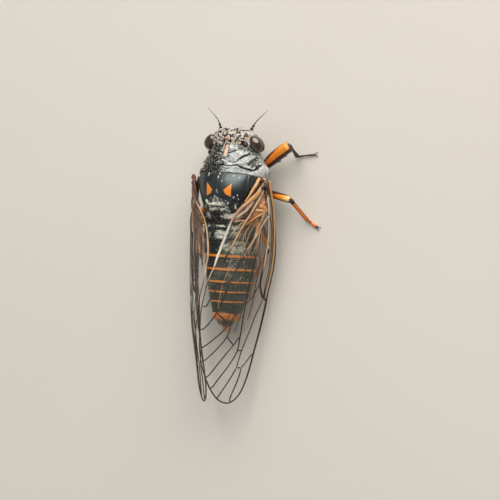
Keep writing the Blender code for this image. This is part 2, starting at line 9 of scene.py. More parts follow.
import bpy
import numpy as np
from mathutils import Matrix, Vector
from mathutils.geometry import delaunay_2d_cdt
from mathutils.noise import fractal


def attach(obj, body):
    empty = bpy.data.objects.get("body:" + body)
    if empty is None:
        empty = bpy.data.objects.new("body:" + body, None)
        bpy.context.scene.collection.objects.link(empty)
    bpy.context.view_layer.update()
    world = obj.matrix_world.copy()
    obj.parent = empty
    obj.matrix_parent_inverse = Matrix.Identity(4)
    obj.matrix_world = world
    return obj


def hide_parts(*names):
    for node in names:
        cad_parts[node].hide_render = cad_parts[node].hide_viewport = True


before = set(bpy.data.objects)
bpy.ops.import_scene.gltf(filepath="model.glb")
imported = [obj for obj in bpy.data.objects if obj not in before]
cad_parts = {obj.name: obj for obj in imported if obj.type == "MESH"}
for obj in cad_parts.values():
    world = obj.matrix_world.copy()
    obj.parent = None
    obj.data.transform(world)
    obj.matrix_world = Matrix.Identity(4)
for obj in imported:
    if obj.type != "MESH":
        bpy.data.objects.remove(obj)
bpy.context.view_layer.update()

# The view
# The animal is seen from above and from its right side, 60 degrees above the floor, with its
# head up in the picture and its body turned 4 degrees. The picture is square, 55.5 mm wide.
MM = 0.001
METRE = 1000             # in millimetres; over the size of a pattern it is the pattern's scale
ORIGIN_BACK = 14.4
ORIGIN_RIGHT = 1.575     # the right feet reach further out than the left, so the middle lies here
VIEW_HEIGHT = radians(60)
VIEW_TURN = radians(4)
VIEW_WIDTH = 55.5
VIEW_DISTANCE = 300.0
VIEW_MIDDLE = (2.9, 13.64, 4.0)
SENSOR = 36.0


def place(spots):
    """Turn places in millimetres into points in metres."""
    spots = np.asarray(spots, float)
    return np.stack([ORIGIN_RIGHT - spots[..., 0], spots[..., 1] - ORIGIN_BACK, spots[..., 2]], -1) * MM


right_way = Vector((-sin(VIEW_HEIGHT), 0, -cos(VIEW_HEIGHT)))
back_way = Vector((0, 1, 0))
picture_right = right_way * cos(VIEW_TURN) - back_way * sin(VIEW_TURN)
picture_up = -(right_way * sin(VIEW_TURN) + back_way * cos(VIEW_TURN))
toward_camera = picture_right.cross(picture_up)
lens = bpy.data.cameras.new("camera")
lens.sensor_width = SENSOR
lens.lens = SENSOR * VIEW_DISTANCE / VIEW_WIDTH
lens.clip_start = 0.001
camera = bpy.data.objects.new("camera", lens)
view_axes = Matrix((picture_right, picture_up, toward_camera)).transposed().to_4x4()
camera_place = Vector(place(VIEW_MIDDLE)) + toward_camera * VIEW_DISTANCE * MM
camera.matrix_world = Matrix.Translation(camera_place) @ view_axes
scene = bpy.context.scene
scene.collection.objects.link(camera)
scene.camera = camera

# The stage
# A plain matt board as the floor, a large soft lamp over the head and a weaker one behind,
# as a museum's photographer sets them, and pale walls all round that fill the shadows.
FLOOR_HALF = 600.0
FLOOR_TONES = ("DEDAD2", "E4E1DA")
FLOOR_PATCH = 40.0       # size of the board's uneven patches of tone
WALL_COLOUR = "DDE4EA"
WALL_LIGHT = 0.22
LAMPS = {    # place, size, power in watts, colour
    "lamp_over_head": ((-110, -330, 275), 580, 3.25, "FFF8EE"),
    "lamp_behind": ((260, 160, 300), 900, 0.3, "F2F4F8"),
}


def rgb(code):
    """Turn an sRGB hex code into linear red, green, blue and full alpha."""
    parts = [int(code[k:k + 2], 16) / 255 for k in (0, 2, 4)]
    return [c / 12.92 if c <= 0.04045 else ((c + 0.055) / 1.055) ** 2.4 for c in parts] + [1.0]


COLOURS = {"out": "Result", "data_type": "RGBA"}    # settings of a node that mixes two colours


def wire(tree, item, inputs):
    """Give the inputs of a node their values, colours in hex, or links."""
    for name, value in dict(inputs).items():
        if isinstance(value, bpy.types.NodeSocket):
            tree.links.new(value, item.inputs[name])
        else:
            item.inputs[name].default_value = rgb(value) if isinstance(value, str) else value


def add(tree, kind, inputs=(), out=0, **settings):
    """Add a node with its settings, wire its inputs, and return one of its outputs."""
    item = tree.nodes.new("ShaderNode" + kind)
    for name, value in settings.items():
        setattr(item, name, value)
    wire(tree, item, inputs)
    return item.outputs[out]


def new_material(name):
    """Start a material: return it, its node tree, the place on the object, and its shader."""
    material = bpy.data.materials.new(name)
    material.use_nodes = True
    tree = material.node_tree
    return material, tree, add(tree, "TexCoord", out="Object"), tree.nodes["Principled BSDF"]


def painted_board():
    """Matt paint on board: a faint unevenness of tone and no shine."""
    material, tree, where, shader = new_material("matt_paint")
    tone = add(tree, "TexNoise", {"Vector": where, "Scale": METRE / FLOOR_PATCH, "Detail": 4.0})
    colour = add(tree, "Mix", {"Factor": tone, "A": FLOOR_TONES[0], "B": FLOOR_TONES[1]}, **COLOURS)
    wire(tree, shader, {"Base Color": colour, "Roughness": 0.85})
    return material


floor_mesh = bpy.data.meshes.new("floor")
corner = FLOOR_HALF * MM
floor_mesh.from_pydata([(-corner, -corner, 0), (corner, -corner, 0), (corner, corner, 0),
                        (-corner, corner, 0)], [], [(0, 1, 2, 3)])
floor_mesh.materials.append(painted_board())
floor = bpy.data.objects.new("floor", floor_mesh)
scene.collection.objects.link(floor)

world = bpy.data.worlds.new("soft_walls")
world.use_nodes = True
wire(world.node_tree, world.node_tree.nodes["Background"], {"Color": WALL_COLOUR, "Strength": WALL_LIGHT})
scene.world = world
scene.view_settings.view_transform = "Standard"
scene.view_settings.look = "None"

for name, (spot, size, watts, colour) in LAMPS.items():
    light = bpy.data.lights.new(name, "AREA")
    light.shape = "DISK"
    light.size = size * MM
    light.energy = watts
    light.color = rgb(colour)[:3]
    lamp = bpy.data.objects.new(name, light)
    lamp.location = Vector(spot) * MM
    lamp.rotation_euler = (-lamp.location).to_track_quat("-Z", "Y").to_euler()
    scene.collection.objects.link(lamp)

# The trunk's form
# The trunk is a ring-built body, widest at the collar and round over the back. Its form
# was taken from the photo and the species; every plate below is laid on this one form.
# Columns: back, half width, underside, widest height, top.
TRUNK = (
    (1.6, 2.3, 1.9, 3.6, 5.2), (2.6, 2.75, 1.6, 3.6, 5.75), (3.4, 3.2, 1.45, 3.6, 6.1),
    (4.4, 3.75, 1.45, 3.7, 6.5), (5.3, 3.95, 1.45, 3.8, 6.75), (6.2, 3.8, 1.45, 3.9, 7.08),
    (7.2, 3.62, 1.45, 4.0, 7.2), (8.2, 3.3, 1.45, 4.0, 7.05), (9.0, 3.05, 1.5, 3.95, 6.75),
    (10.0, 2.95, 1.55, 3.8, 6.25), (11.0, 3.1, 1.6, 3.7, 5.92), (12.6, 3.25, 1.6, 3.55, 5.8),
    (14.4, 3.22, 1.45, 3.4, 5.65), (16.0, 3.02, 1.5, 3.35, 5.4), (17.3, 2.8, 1.6, 3.3, 5.15),
    (18.5, 2.52, 1.75, 3.3, 4.85), (19.6, 2.2, 1.95, 3.25, 4.6), (20.9, 1.68, 2.2, 3.25, 4.28),
    (21.8, 1.2, 2.4, 3.2, 4.02), (22.4, 0.8, 2.55, 3.15, 3.75),
)
BOW = 0.25          # how far the abdomen is bent to the right in its middle
NECK_TUCK = 0.35    # how far the left side of the pronotum is drawn in


def held(values, most=1):
    """Hold numbers between 0 and the most."""
    return np.clip(values, 0, most)


def along(table, x):
    """Read a table of rows smoothly at x, its first column; x may be an array."""
    rows = np.asarray(table, float)
    x = np.asarray(x, float)
    k = held(np.searchsorted(rows[:, 0], x, side="left") - 1, len(rows) - 2)
    start, end = rows[k], rows[k + 1]
    before, after = rows[np.maximum(k - 1, 0)], rows[np.minimum(k + 2, len(rows) - 1)]
    width = end[..., :1] - start[..., :1]
    u = (x[..., None] - start[..., :1]) / width
    rise_in = (end - before) / (end[..., :1] - before[..., :1]) * width
    rise_out = (after - start) / (after[..., :1] - start[..., :1]) * width
    mixed = (start * (2 * u**3 - 3 * u**2 + 1) + rise_in * (u**3 - 2 * u**2 + u)
             + end * (3 * u**2 - 2 * u**3) + rise_out * (u**3 - u**2))
    return np.moveaxis(mixed[..., 1:], -1, 0)


def power(value, exponent):
    """Raise numbers to a power and keep their signs."""
    return np.abs(value) ** exponent * np.sign(value)


def trunk(turn, back, proud=0.0, fullness=0.95):
    """Return places on the trunk at a turn round it (0 is its right side, a quarter is the
    top) and at a distance back, standing proud of its form."""
    half, low, middle, top = along(TRUNK, back)
    reach = np.where(np.sin(turn) >= 0, top - middle, middle - low)
    right = (half + proud) * power(np.cos(turn), fullness)
    right = right + BOW * np.sin(pi * held((back - 11) / 10))
    right = right + NECK_TUCK * np.exp(-((back - 4.1) / 1.1) ** 2) * held(-np.cos(turn)) ** 2
    high = middle + (reach + proud) * power(np.sin(turn), fullness)
    return np.stack([right, back + 0 * turn, high], -1)


def spread_over(start, end, count, rows):
    """Spread turns and shares of a length over a plate, closer together at both its ends."""
    share = np.concatenate([[0, 0.004, 0.012], np.linspace(0.025, 0.975, rows - 6), [0.988, 0.996, 1]])
    return np.meshgrid(np.linspace(start, end, count), share, indexing="ij")


def right_round(sides, start, end, count):
    """Spread turns right round, and places from a start to an end, over a grid."""
    return np.meshgrid(np.linspace(0, 2 * pi, sides, endpoint=False), np.linspace(start, end, count),
                       indexing="ij")


def unit(ways):
    """Return directions at a length of 1."""
    return ways / (np.linalg.norm(ways, axis=-1, keepdims=True) + 1e-12)


def facing(grid, wrap=False):
    """Return the unit normal at each place of a grid, away from the grid's middle line."""
    if wrap:
        down = np.roll(grid, -1, 0) - np.roll(grid, 1, 0)
    else:
        down = np.gradient(grid, axis=0)
    normal = unit(np.cross(down, np.gradient(grid, axis=1)))
    middle = grid.mean(axis=0, keepdims=True) - np.array([0, 0, 0.5])
    return normal * np.sign((normal * (grid - middle)).sum())


def raised(grid, relief, wrap=False):
    """Return a grid raised along its normals by a relief, or sunk where it is negative."""
    return grid + facing(grid, wrap) * relief[..., None]


def from_edge(grid):
    """Return how far each place of a grid lies from the grid's four edges."""
    far = np.full(grid.shape[:2], 1e3)
    for axis in (0, 1):
        run = np.cumsum(np.linalg.norm(np.diff(grid, axis=axis), axis=-1), axis=axis)
        run = np.concatenate([np.zeros_like(np.take(run, [0], axis)), run], axis)
        far = np.minimum(far, np.minimum(run, np.take(run, [-1], axis) - run))
    return far


def make_piece(name, points, faces, material, caps=(), **marks):
    """Make one smooth piece from places and faces, with named numbers on its points."""
    mesh = bpy.data.meshes.new(name)
    spots = place(points)
    a, b, c, d = (spots[faces[:, k]] for k in (0, 1, 2, -1))
    inside_out = (a * np.cross(b, c)).sum() + (a * np.cross(c, d)).sum() < 0
    faces = faces.tolist() + list(caps)
    mesh.from_pydata(spots.tolist(), [], [face[::-1] for face in faces] if inside_out else faces)
    mesh.shade_smooth()
    for mark, values in marks.items():
        layer = mesh.attributes.new(mark, "FLOAT", "POINT")
        layer.data.foreach_set("value", np.ascontiguousarray(values, np.float32).ravel())
    mesh.materials.append(material)
    piece = bpy.data.objects.new(name, mesh)
    scene.collection.objects.link(piece)
    return piece


def fit(piece, slot, *nodes):
    """Fix a piece to the body and let it stand for these solids, which are hidden. The slot is not used."""
    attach(piece, "root")
    if nodes:
        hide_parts(*nodes)


def make_plate(name, grid, thickness, roll, material, slot, *nodes, **marks):
    """Close a grid of outer places into a thin plate, its rim rolled inward, and fit it."""
    normal = facing(grid)
    near = held(1 - from_edge(grid) / roll)
    outer = grid - normal * (roll * (1 - np.sqrt(1 - near**2)))[..., None]
    inner = grid - normal * max(thickness, roll * 1.05)
    rows, columns = grid.shape[:2]
    count = rows * columns
    number = np.arange(count).reshape(rows, columns)
    quads = np.stack([number[:-1, :-1], number[1:, :-1], number[1:, 1:], number[:-1, 1:]], -1).reshape(-1, 4)
    rim = np.concatenate([number[0, :-1], number[:-1, -1], number[-1, :0:-1], number[:0:-1, 0]])
    after = np.roll(rim, -1)
    wall = np.stack([rim, after, after + count, rim + count], -1)
    marks = {mark: np.concatenate([values.ravel()] * 2) for mark, values in marks.items()}
    fit(make_piece(name, np.concatenate([outer.reshape(-1, 3), inner.reshape(-1, 3)]),
                   np.concatenate([quads, quads[:, ::-1] + count, wall]), material, **marks), slot, *nodes)


def off_line(right, back, line):
    """Return how far places lie from a line on one half of the back, seen from above."""
    best = np.full(np.shape(right), 1e3)
    for (r0, b0), (r1, b1) in zip(line, line[1:]):
        long = hypot(r1 - r0, b1 - b0)
        share = held(((right - r0) * (r1 - r0) + (back - b0) * (b1 - b0)) / long**2)
        best = np.minimum(best, np.hypot(right - r0 - share * (r1 - r0), back - b0 - share * (b1 - b0)))
    return best


def groove(far, width):
    """A groove's depth share: 1 in its bottom and 0 from its width outward."""
    return held(1 - far / width) ** 1.5


def blot(right, back, spot, size):
    """A soft round blot: 1 at its middle, falling to 0."""
    return np.exp(-(((right - spot[0]) / size[0]) ** 2 + ((back - spot[1]) / size[1]) ** 2))


def blots(right, back, rows):
    """Add up soft blots; each row is a strength, a place and half sizes."""
    return sum(strong * blot(right, back, spot, size) for strong, spot, size in rows)


# The under-skin
# The tough black skin of the animal's sides and underside, one closed bag that shows
# between the plates of the back and carries them. It is chitin, sooty and finely wrinkled.
GRAIN = 0.05             # size of the fine pits and wrinkles of the shell
PATCH = 0.9              # size of its uneven patches
SIDE_SEAMS = (    # line of high and back, half width
    (((1.6, 5.6), (3.4, 6.3), (5.2, 6.2)), 0.22), (((1.6, 7.6), (3.6, 8.2), (5.4, 8.0)), 0.2),
    (((1.6, 8.9), (3.6, 9.3), (5.6, 9.2)), 0.2),
)


def wrinkled_chitin(name, ground, patches, shine, dust="B9B8AC", dust_amount=1.0, relief=0.006, marks=(),
                    speck=0.3, silk=0.75, dust_2="", ior=1.56, sheen="FFFFFF"):
    """Matt to satin chitin: dark, mottled, finely pitted, with a paler bloom of fine hair and
    wax in one or two tones where the mark named bloom says so. Marks lie under the bloom.
    On the pronotum the bloom also carries painted sheen and painted shade."""
    material, tree, where, shader = new_material(name)
    patch = add(tree, "TexNoise", {"Vector": where, "Scale": METRE / PATCH, "Detail": 6.0})
    spread = add(tree, "MapRange", {"Value": patch, "From Min": 0.35, "From Max": 0.65})
    colour = add(tree, "Mix", {"Factor": spread, "A": ground, "B": patches}, **COLOURS)
    grain = add(tree, "TexNoise", {"Vector": where, "Scale": METRE / (GRAIN * 4), "Detail": 5.0,
                                   "Roughness": 0.65})
    ragged = add(tree, "Math", {0: grain, 1: 0.1, 2: -0.05}, operation="MULTIPLY_ADD")
    for mark, tones in marks:
        painted = add(tree, "Attribute", out="Fac", attribute_name=mark)
        edge = add(tree, "Math", {0: painted, 1: ragged}, operation="ADD")
        inside = add(tree, "MapRange", {"Value": edge, "From Min": -0.02, "From Max": 0.03},
                     interpolation_type="SMOOTHSTEP")
        tones = add(tree, "Mix", {"Factor": patch, "A": tones[0], "B": tones[1]}, **COLOURS)
        colour = add(tree, "Mix", {"Factor": inside, "A": colour, "B": tones}, **COLOURS)
    bloom = add(tree, "Attribute", out="Fac", attribute_name="bloom")
    specks = add(tree, "TexNoise", {"Vector": where, "Scale": METRE / speck, "Detail": 4.0,
                                    "Roughness": 0.65, "Distortion": 0.6})
    over = add(tree, "Math", {0: specks, 1: 2.6, 2: bloom}, operation="MULTIPLY_ADD")
    dusty = add(tree, "MapRange", {"Value": over, "From Min": 1.72, "From Max": 2.05, "To Max": dust_amount})
    hue = add(tree, "TexNoise", {"Vector": where, "Scale": METRE / (speck * 1.8), "Detail": 3.0})
    shade = add(tree, "MapRange", {"Value": hue, "From Min": 0.4, "From Max": 0.6})
    bloomed = add(tree, "Mix", {"Factor": shade, "A": dust, "B": dust_2 or dust}, **COLOURS)
    colour = add(tree, "Mix", {"Factor": dusty, "A": colour, "B": bloomed}, **COLOURS)
    rough = add(tree, "MapRange", {"Value": dusty, "To Min": shine, "To Max": silk})
    uneven = add(tree, "Math", {0: patch, 1: 0.16, 2: rough}, operation="MULTIPLY_ADD")
    pits = add(tree, "TexVoronoi", {"Vector": where, "Scale": METRE / (GRAIN * 2.4)})
    height = add(tree, "Math", {0: pits, 1: 0.7, 2: grain}, operation="MULTIPLY_ADD")
    bump = add(tree, "Bump", {"Height": height, "Strength": 0.8, "Distance": relief * MM})
    wire(tree, shader, {"Base Color": colour, "Roughness": uneven, "Normal": bump, "IOR": ior,
                        "Specular Tint": sheen})
    return material


def make_bag(name, grid, material, **marks):
    """Make a closed bag-shaped piece from a grid that wraps round itself."""
    rows, columns = grid.shape[:2]
    count = rows * columns
    number = np.arange(count).reshape(rows, columns)
    after = np.roll(number, -1, 0)
    quads = np.stack([number[:, :-1], after[:, :-1], after[:, 1:], number[:, 1:]], -1).reshape(-1, 4)
    spots = np.concatenate([grid.reshape(-1, 3), grid[:, 0].mean(0)[None], grid[:, -1].mean(0)[None]])
    caps = [[after[k, 0], number[k, 0], count] for k in range(rows)]
    caps += [[number[k, -1], after[k, -1], count + 1] for k in range(rows)]
    for mark, values in marks.items():
        values = np.broadcast_to(values, grid.shape[:2])
        marks[mark] = np.concatenate([values.ravel(), [values[:, 0].mean(), values[:, -1].mean()]])
    return make_piece(name, spots, quads, material, caps, **marks)


turn, back = right_round(180, 1.9, 22.2, 260)
skin_grid = trunk(turn, back, -0.16 - 0.1 * (back > 10.9))
skin_high = skin_grid[..., 2]
side_seams = groove(np.abs(skin_high - 3.4 - 0.25 * np.sin(back * 2)), 0.16) * (back < 10)
for line, width in SIDE_SEAMS:
    side_seams += groove(off_line(skin_high, back, line), width)
swell = 0.16 * held(np.sin((back - 2.4) * 2.1)) * np.exp(-((skin_high - 2.8) / 0.9) ** 2) * (back < 10.5)
skin_grid = raised(skin_grid, swell - 0.13 * held(side_seams), wrap=True)
under_bloom = 0.25 * (back < 10) * np.exp(-((skin_high - 3.9) / 0.8) ** 2) + 0.2
sooty = wrinkled_chitin("sooty_chitin", "1B1A18", "3A2A20", 0.5)
fit(make_bag("under_skin", skin_grid, sooty, bloom=under_bloom), "haired_cuticle", "prosternum",
    "mesosternum", "metasternum")

# The pronotum
# The first plate of the back, a saddle of folded black chitin under silver hair. Furrows and a
# peach-coloured band down its middle part it into smooth lobes, and a striped collar closes it
# behind. The silver is painted brighter on the right half as a painted sheen where the lamp falls,
# and the left half is painted in shade, nearly black with cream specks.
PRONOTUM_FRONT = 1.95
PRONOTUM_REAR = 5.22
PEACH_BAND = ((-0.02, 1.8), (0.03, 2.6), (0.09, 3.2))
FURROWS = (    # line on one half, half width, depth, darkness
    (((0.2, 1.8), (0.25, 2.6), (0.37, 3.1), (0.34, 3.5), (0.46, 3.85), (0.8, 4.05), (1.3, 4.13)),
     0.07, 0.05, 0.5),
    (((0.42, 3.06), (0.62, 2.97), (1.14, 2.76)), 0.12, 0.13, 1.3),
    (((0.62, 3.32), (0.5, 3.48), (0.52, 3.66)), 0.1, 0.09, 1.3),
    (((0.85, 3.43), (0.7, 3.62), (0.76, 3.92), (1.0, 4.0)), 0.07, 0.05, 0.4),
    (((1.34, 4.06), (1.62, 3.98), (1.86, 3.62)), 0.1, 0.12, 0.9),
    (((1.86, 3.62), (2.2, 3.33), (2.52, 3.03)), 0.15, 0.17, 1.5),
    (((2.85, 4.25), (3.01, 3.91), (3.11, 3.48)), 0.13, 0.12, 1.4),
    (((0, 4.42), (0.6, 4.52), (1.05, 4.51), (1.7, 4.36), (2.17, 4.58)), 0.1, 0.13, 1.3),
    (((2.1, 4.55), (2.67, 4.74), (3.2, 4.86), (3.54, 4.8), (3.7, 4.5), (3.68, 4.25)), 0.19, 0.18, 1.6),
    (((0, 4.8), (1.5, 4.82), (2.6, 4.98), (3.1, 5.12)), 0.07, 0.03, 0.55),
    (((0, 5.02), (1.5, 5.04), (2.6, 5.14)), 0.06, 0.02, 0.4),
)
PRONOTUM_SWELLS = (    # strength, place, half sizes, as in all tables of this kind
    (0.18, (1.5, 3.4), (0.7, 0.4)), (-0.12, (3.35, 4.2), (0.35, 0.5)), (0.05, (0, 3), (0.2, 1.2)),
)
BALD_SPOTS = ((0.75, (3.22, 4.15), (0.5, 0.55)), (0.55, (2.95, 2.95), (0.6, 0.45)))
THIRD_LOBE = ((1.85, 4.28), (2.4, 4.1), (3.0, 3.5))
SILVER = ("9CA3A4", "D3D7D6")
COLLAR_FRONT = ((0, 1.9, 2.6, 3.1, 3.6, 4.4), (4.42, 4.47, 4.75, 4.84, 4.7, 3.6))    # right, back


def rough_field(spots, size, seed):
    """An even unevenness from -1 to 1 over places, with lumps of the given size."""
    shift = Vector((seed, 2.3 * seed, 5.1 * seed))
    flat = spots.reshape(-1, 3) / size
    values = [fractal(Vector(spot) + shift, 1.0, 2.0, 3) for spot in flat]
    return np.array(values).reshape(spots.shape[:-1])


turn, share = spread_over(-0.42, pi + 0.42, 300, 130)
side = np.abs(np.cos(turn))
front = PRONOTUM_FRONT + 0.75 * side**3
back = front + (PRONOTUM_REAR + 0.4 * side**4 - front) * share
flare = 0.42 * np.exp(-((back - 4.75) / 0.55) ** 2) * side**6 + 0.14 * side**4 * held(share - 0.1)
flare *= np.where(np.cos(turn) < 0, 0.3, 1.0)
grid = trunk(turn, back, 0.02) + np.stack([np.sign(np.cos(turn)) * flare, 0 * turn, -0.25 * flare], -1)
right = np.abs(grid[..., 0])
on_top = held((grid[..., 2] - 3.4) / 0.8)
wander = 0.05 * rough_field(grid, 0.4, 5)
cuts, shade = 0 * turn, 0 * turn
for line, width, deep, dark in FURROWS:
    cut = groove(off_line(right + wander, back + wander, line), width)
    cuts, shade = np.maximum(cuts, deep * cut), np.maximum(shade, dark * held(cut * 1.8))
ring = np.hypot(right - 0.75, (back - 2.32) / 0.9)
folds = 0.1 * np.exp(-((ring - 0.36) / 0.13) ** 2) + blots(right, back, PRONOTUM_SWELLS)
folds += 0.14 * np.exp(-(off_line(right, back, THIRD_LOBE) / 0.25) ** 2)
folds += 0.05 * rough_field(grid * (1.0, 1.6, 1.0), 0.5, 7)
collar = held((back - np.interp(right, *COLLAR_FRONT)) / 0.12)
grid = raised(grid, (folds + 0.06 * collar - cuts) * on_top)
pronotum_grid, back_on_pronotum = grid, back
uneven = rough_field(grid * (1.0, 1.8, 1.0), 0.3, 21)
# Painted light: the silver pile is made bright on the right half as a painted sheen toward the lamp, and the
# left half is painted in shade, with the silver taken off.
lit = held(0.5 + (grid[..., 0] - 0.12 - 0.15 * (back > 4.3) + 0.6 * uneven) / 0.5)
shaded_half = 1 - lit
pile = 0.16 + 0.92 * lit + 0.5 * shaded_half * np.exp(-((grid[..., 0] + 0.45) / 0.3) ** 2) * held((4.5 - back) / 0.3)
pile -= shade * 1.2 + 0.35 * blot(right, back, (0.75, 2.3), (0.22, 0.18))
pile -= 0.7 * lit * held((right - 1.1) / 0.3) * held((2.82 - back + 0.3 * uneven) / 0.15)
pile -= lit * (blots(right, back, BALD_SPOTS) - 0.25 * collar - 0.3 * uneven)
pronotum_pile_and_sheen = held(pile, 1.5)
peach = 0.19 + 0.1 * rough_field(grid, 0.15, 6) - off_line(grid[..., 0], back, PEACH_BAND)
make_plate("pronotum_plate", grid, 0.12, 0.07,
           wrinkled_chitin("silver_haired_chitin", "0D0F0D", "1E201C", 0.32, SILVER[0], 1.0, 0.004,
                           (("peach", ("E9C3A6", "D9A686")),), 0.16, 0.46, SILVER[1]),
           "haired_cuticle", "pronotum", bloom=pronotum_pile_and_sheen - 3 * held(peach * 5), peach=peach)

# The mesonotum
# The great shield over the wing muscles: one domed piece of black chitin, smooth and glossy as
# lacquer, with two orange wedges. Behind it stands the raised cross, dusted with cream scales.
MESONOTUM_FRONT = 5.28
MESONOTUM_REAR = 9.7
WEDGE = ((1.56, 6.47), (0.72, 7.24), (0.92, 7.64), (1.5, 7.93))
CROSS_FRONT_ARM = ((0, 8.84), (0.5, 8.87), (1.0, 8.9), (1.5, 8.55), (1.9, 8.1))
CROSS_REAR_ARM = ((0, 9.22), (0.35, 9.42), (0.8, 9.4), (1.3, 9.62))
CREAM_BANDS = (    # line across the cross, half width
    (((-1.5, 8.5), (-1.3, 8.72), (-0.9, 8.86), (-0.46, 8.76), (0.05, 8.8), (0.5, 8.95), (1.05, 9.03)), 0.14),
    (((-1.35, 8.75), (-1.28, 9.0), (-1.1, 9.25), (-0.93, 9.4), (-0.45, 9.24), (-0.1, 9.33), (0.28, 9.5),
      (0.66, 9.26)), 0.13),
    (((0.08, 8.4), (0.2, 8.6), (0.5, 8.85)), 0.07),
)
DARK_WAVE = ((-0.95, 9.12), (-0.7, 9.06), (-0.4, 9.02), (0.04, 8.98), (0.35, 9.1), (0.7, 9.17))
TUFTS = (    # small tufts of cream scales: right, back, half length
    (-1.46, 5.5, 0.17), (0.04, 5.42, 0.16), (-0.06, 5.8, 0.16), (0.52, 6.25, 0.1), (1.69, 5.6, 0.15),
    (2.3, 5.75, 0.12), (-0.01, 7.25, 0.1), (0.13, 7.52, 0.12), (-0.26, 7.95, 0.14), (0.03, 8.13, 0.14),
    (-0.57, 8.42, 0.2), (0.11, 8.4, 0.12), (0.52, 8.28, 0.1), (0.6, 8.6, 0.12), (-0.4, 8.2, 0.12),
    (1.3, 8.6, 0.12), (1.92, 9.0, 0.2), (2.25, 7.7, 0.1), (2.3, 8.15, 0.1), (-1.9, 9.1, 0.2),
    (1.0, 8.45, 0.08), (-0.9, 8.2, 0.09),
)
CREAM = ("BFC1AC", "EDEBDD")
WEDGE_ORANGE = ("FF9A10", "F58C06")
SUNK_SPOTS = (    # between the arms of the cross
    (0.2, (0.62, 9.05), (0.42, 0.13)), (0.12, (0.9, 8.35), (0.5, 0.25)), (0.12, (0, 9.5), (0.5, 0.16)),
    (0.1, (1.95, 8.6), (0.35, 0.5)),
)


def in_shape(right, back, shape):
    """Return how far places lie inside a closed shape, or outside it where negative."""
    within = np.zeros(np.shape(right), bool)
    for (r0, b0), (r1, b1) in zip(shape, shape[1:] + shape[:1]):
        if b0 != b1:
            within ^= ((b0 > back) != (b1 > back)) & (right < r0 + (back - b0) / (b1 - b0) * (r1 - r0))
    return np.where(within, 1, -1) * off_line(right, back, shape + shape[:1])


turn, share = spread_over(-0.22, pi + 0.22, 270, 170)
side = np.abs(np.cos(turn))
back = MESONOTUM_FRONT + 0.16 * side**4 + (MESONOTUM_REAR - MESONOTUM_FRONT - 1.0 * side**5) * share
grid = trunk(turn, back, 0.03 + 0.03 * np.sin(pi * share), 0.97)
right = np.abs(grid[..., 0])
on_top = held((grid[..., 2] - 4.4) / 0.8)
ridge = np.minimum(off_line(right, back, CROSS_FRONT_ARM), off_line(right, back, CROSS_REAR_ARM))
relief = 0.2 * np.exp(-(ridge / 0.17) ** 2) - blots(right, back, SUNK_SPOTS)
seam = 0.006 * groove(off_line(right, back, ((0.62, 5.3), (0.5, 6.4), (0.2, 7.3))), 0.1)
seam += 0.05 * groove(np.abs(right - 3.05 + 0.25 * held(back - 7, 3)), 0.12) * on_top
grid = raised(grid, relief * on_top - seam)
mesonotum_grid = grid
ragged = rough_field(grid, 0.22, 4)
pile = 0.2 * held((back - 7.9) / 0.8) + 0.34 * blot(grid[..., 0], back, (-0.1, 8.2), (0.6, 0.5))
for line, width in CREAM_BANDS:
    pile = np.maximum(pile, 1.5 * held(1.35 - off_line(grid[..., 0], back, line) / width - 0.7 * ragged))
for spot_right, spot_back, half in TUFTS:
    spot = blot(grid[..., 0], back, (spot_right, spot_back), (half * 0.5, half))
    pile = np.maximum(pile, 1.3 * held(1.6 * spot - 0.3 + 0.4 * ragged * (spot > 0.1)))
pile -= 1.6 * held(1.4 - off_line(grid[..., 0], back, DARK_WAVE) / 0.06)
pile += 0.22 * held((right - 3.1) / 0.4) + 0.2 * held((5.5 - back) / 0.12)
mesonotum_pile = held(pile, 1.5)
make_plate("mesonotum_shield", grid, 0.14, 0.08,
           wrinkled_chitin("lacquered_chitin", "0A0B0B", "141716", 0.26, CREAM[0], 1.0, 0.0016,
                           (("wedge", WEDGE_ORANGE),), speck=0.16, dust_2=CREAM[1], ior=2.15, sheen="D2E2E8"),
           "black_cuticle", "mesonotum", bloom=mesonotum_pile,
           wedge=in_shape(np.abs(grid[..., 0] - 0.11), back, WEDGE) + 0.02)

# The metanotum
# The narrow last plate of the thorax, black chitin sunk between the cross and the abdomen,
# with a patch of whitish scales each side of its middle.
METANOTUM_FRONT = 9.55
METANOTUM_REAR = 10.95
METANOTUM_SWELLS = ((0.09, (1, 10.2), (0.7, 0.3)), (-0.1, (0, 10.1), (0.25, 0.5)))
METANOTUM_SCALES = (
    (1.5, (1.1, 10.02), (0.62, 0.32)), (1.4, (0.25, 10.16), (0.3, 0.07)), (0.9, (-1.5, 10.0), (0.25, 0.3)),
)

turn, share = spread_over(-0.3, pi + 0.3, 200, 50)
back = METANOTUM_FRONT + (METANOTUM_REAR - METANOTUM_FRONT) * share
grid = trunk(turn, back, -0.04)
right = np.abs(grid[..., 0])
folds = blots(right, back, METANOTUM_SWELLS) - 0.12 * groove(np.abs(back - 10.62), 0.12)
grid = raised(grid, folds)
metanotum_grid = grid
pile = 0.6 * blot(right, back, (1.9, 9.9), (0.4, 0.4)) + 0.35 * rough_field(grid * (1.0, 2.2, 1.0), 0.3, 8)
metanotum_pile = held(pile + blots(grid[..., 0], back, METANOTUM_SCALES), 1.5)
make_plate("metanotum_plate", grid, 0.12, 0.06,
           wrinkled_chitin("scaled_chitin", "10110F", "1E1D19", 0.4, "CFD0C0", 1.0, speck=0.18,
                           dust_2="EEE6DA"),
           "haired_cuticle", "metanotum", bloom=metanotum_pile)

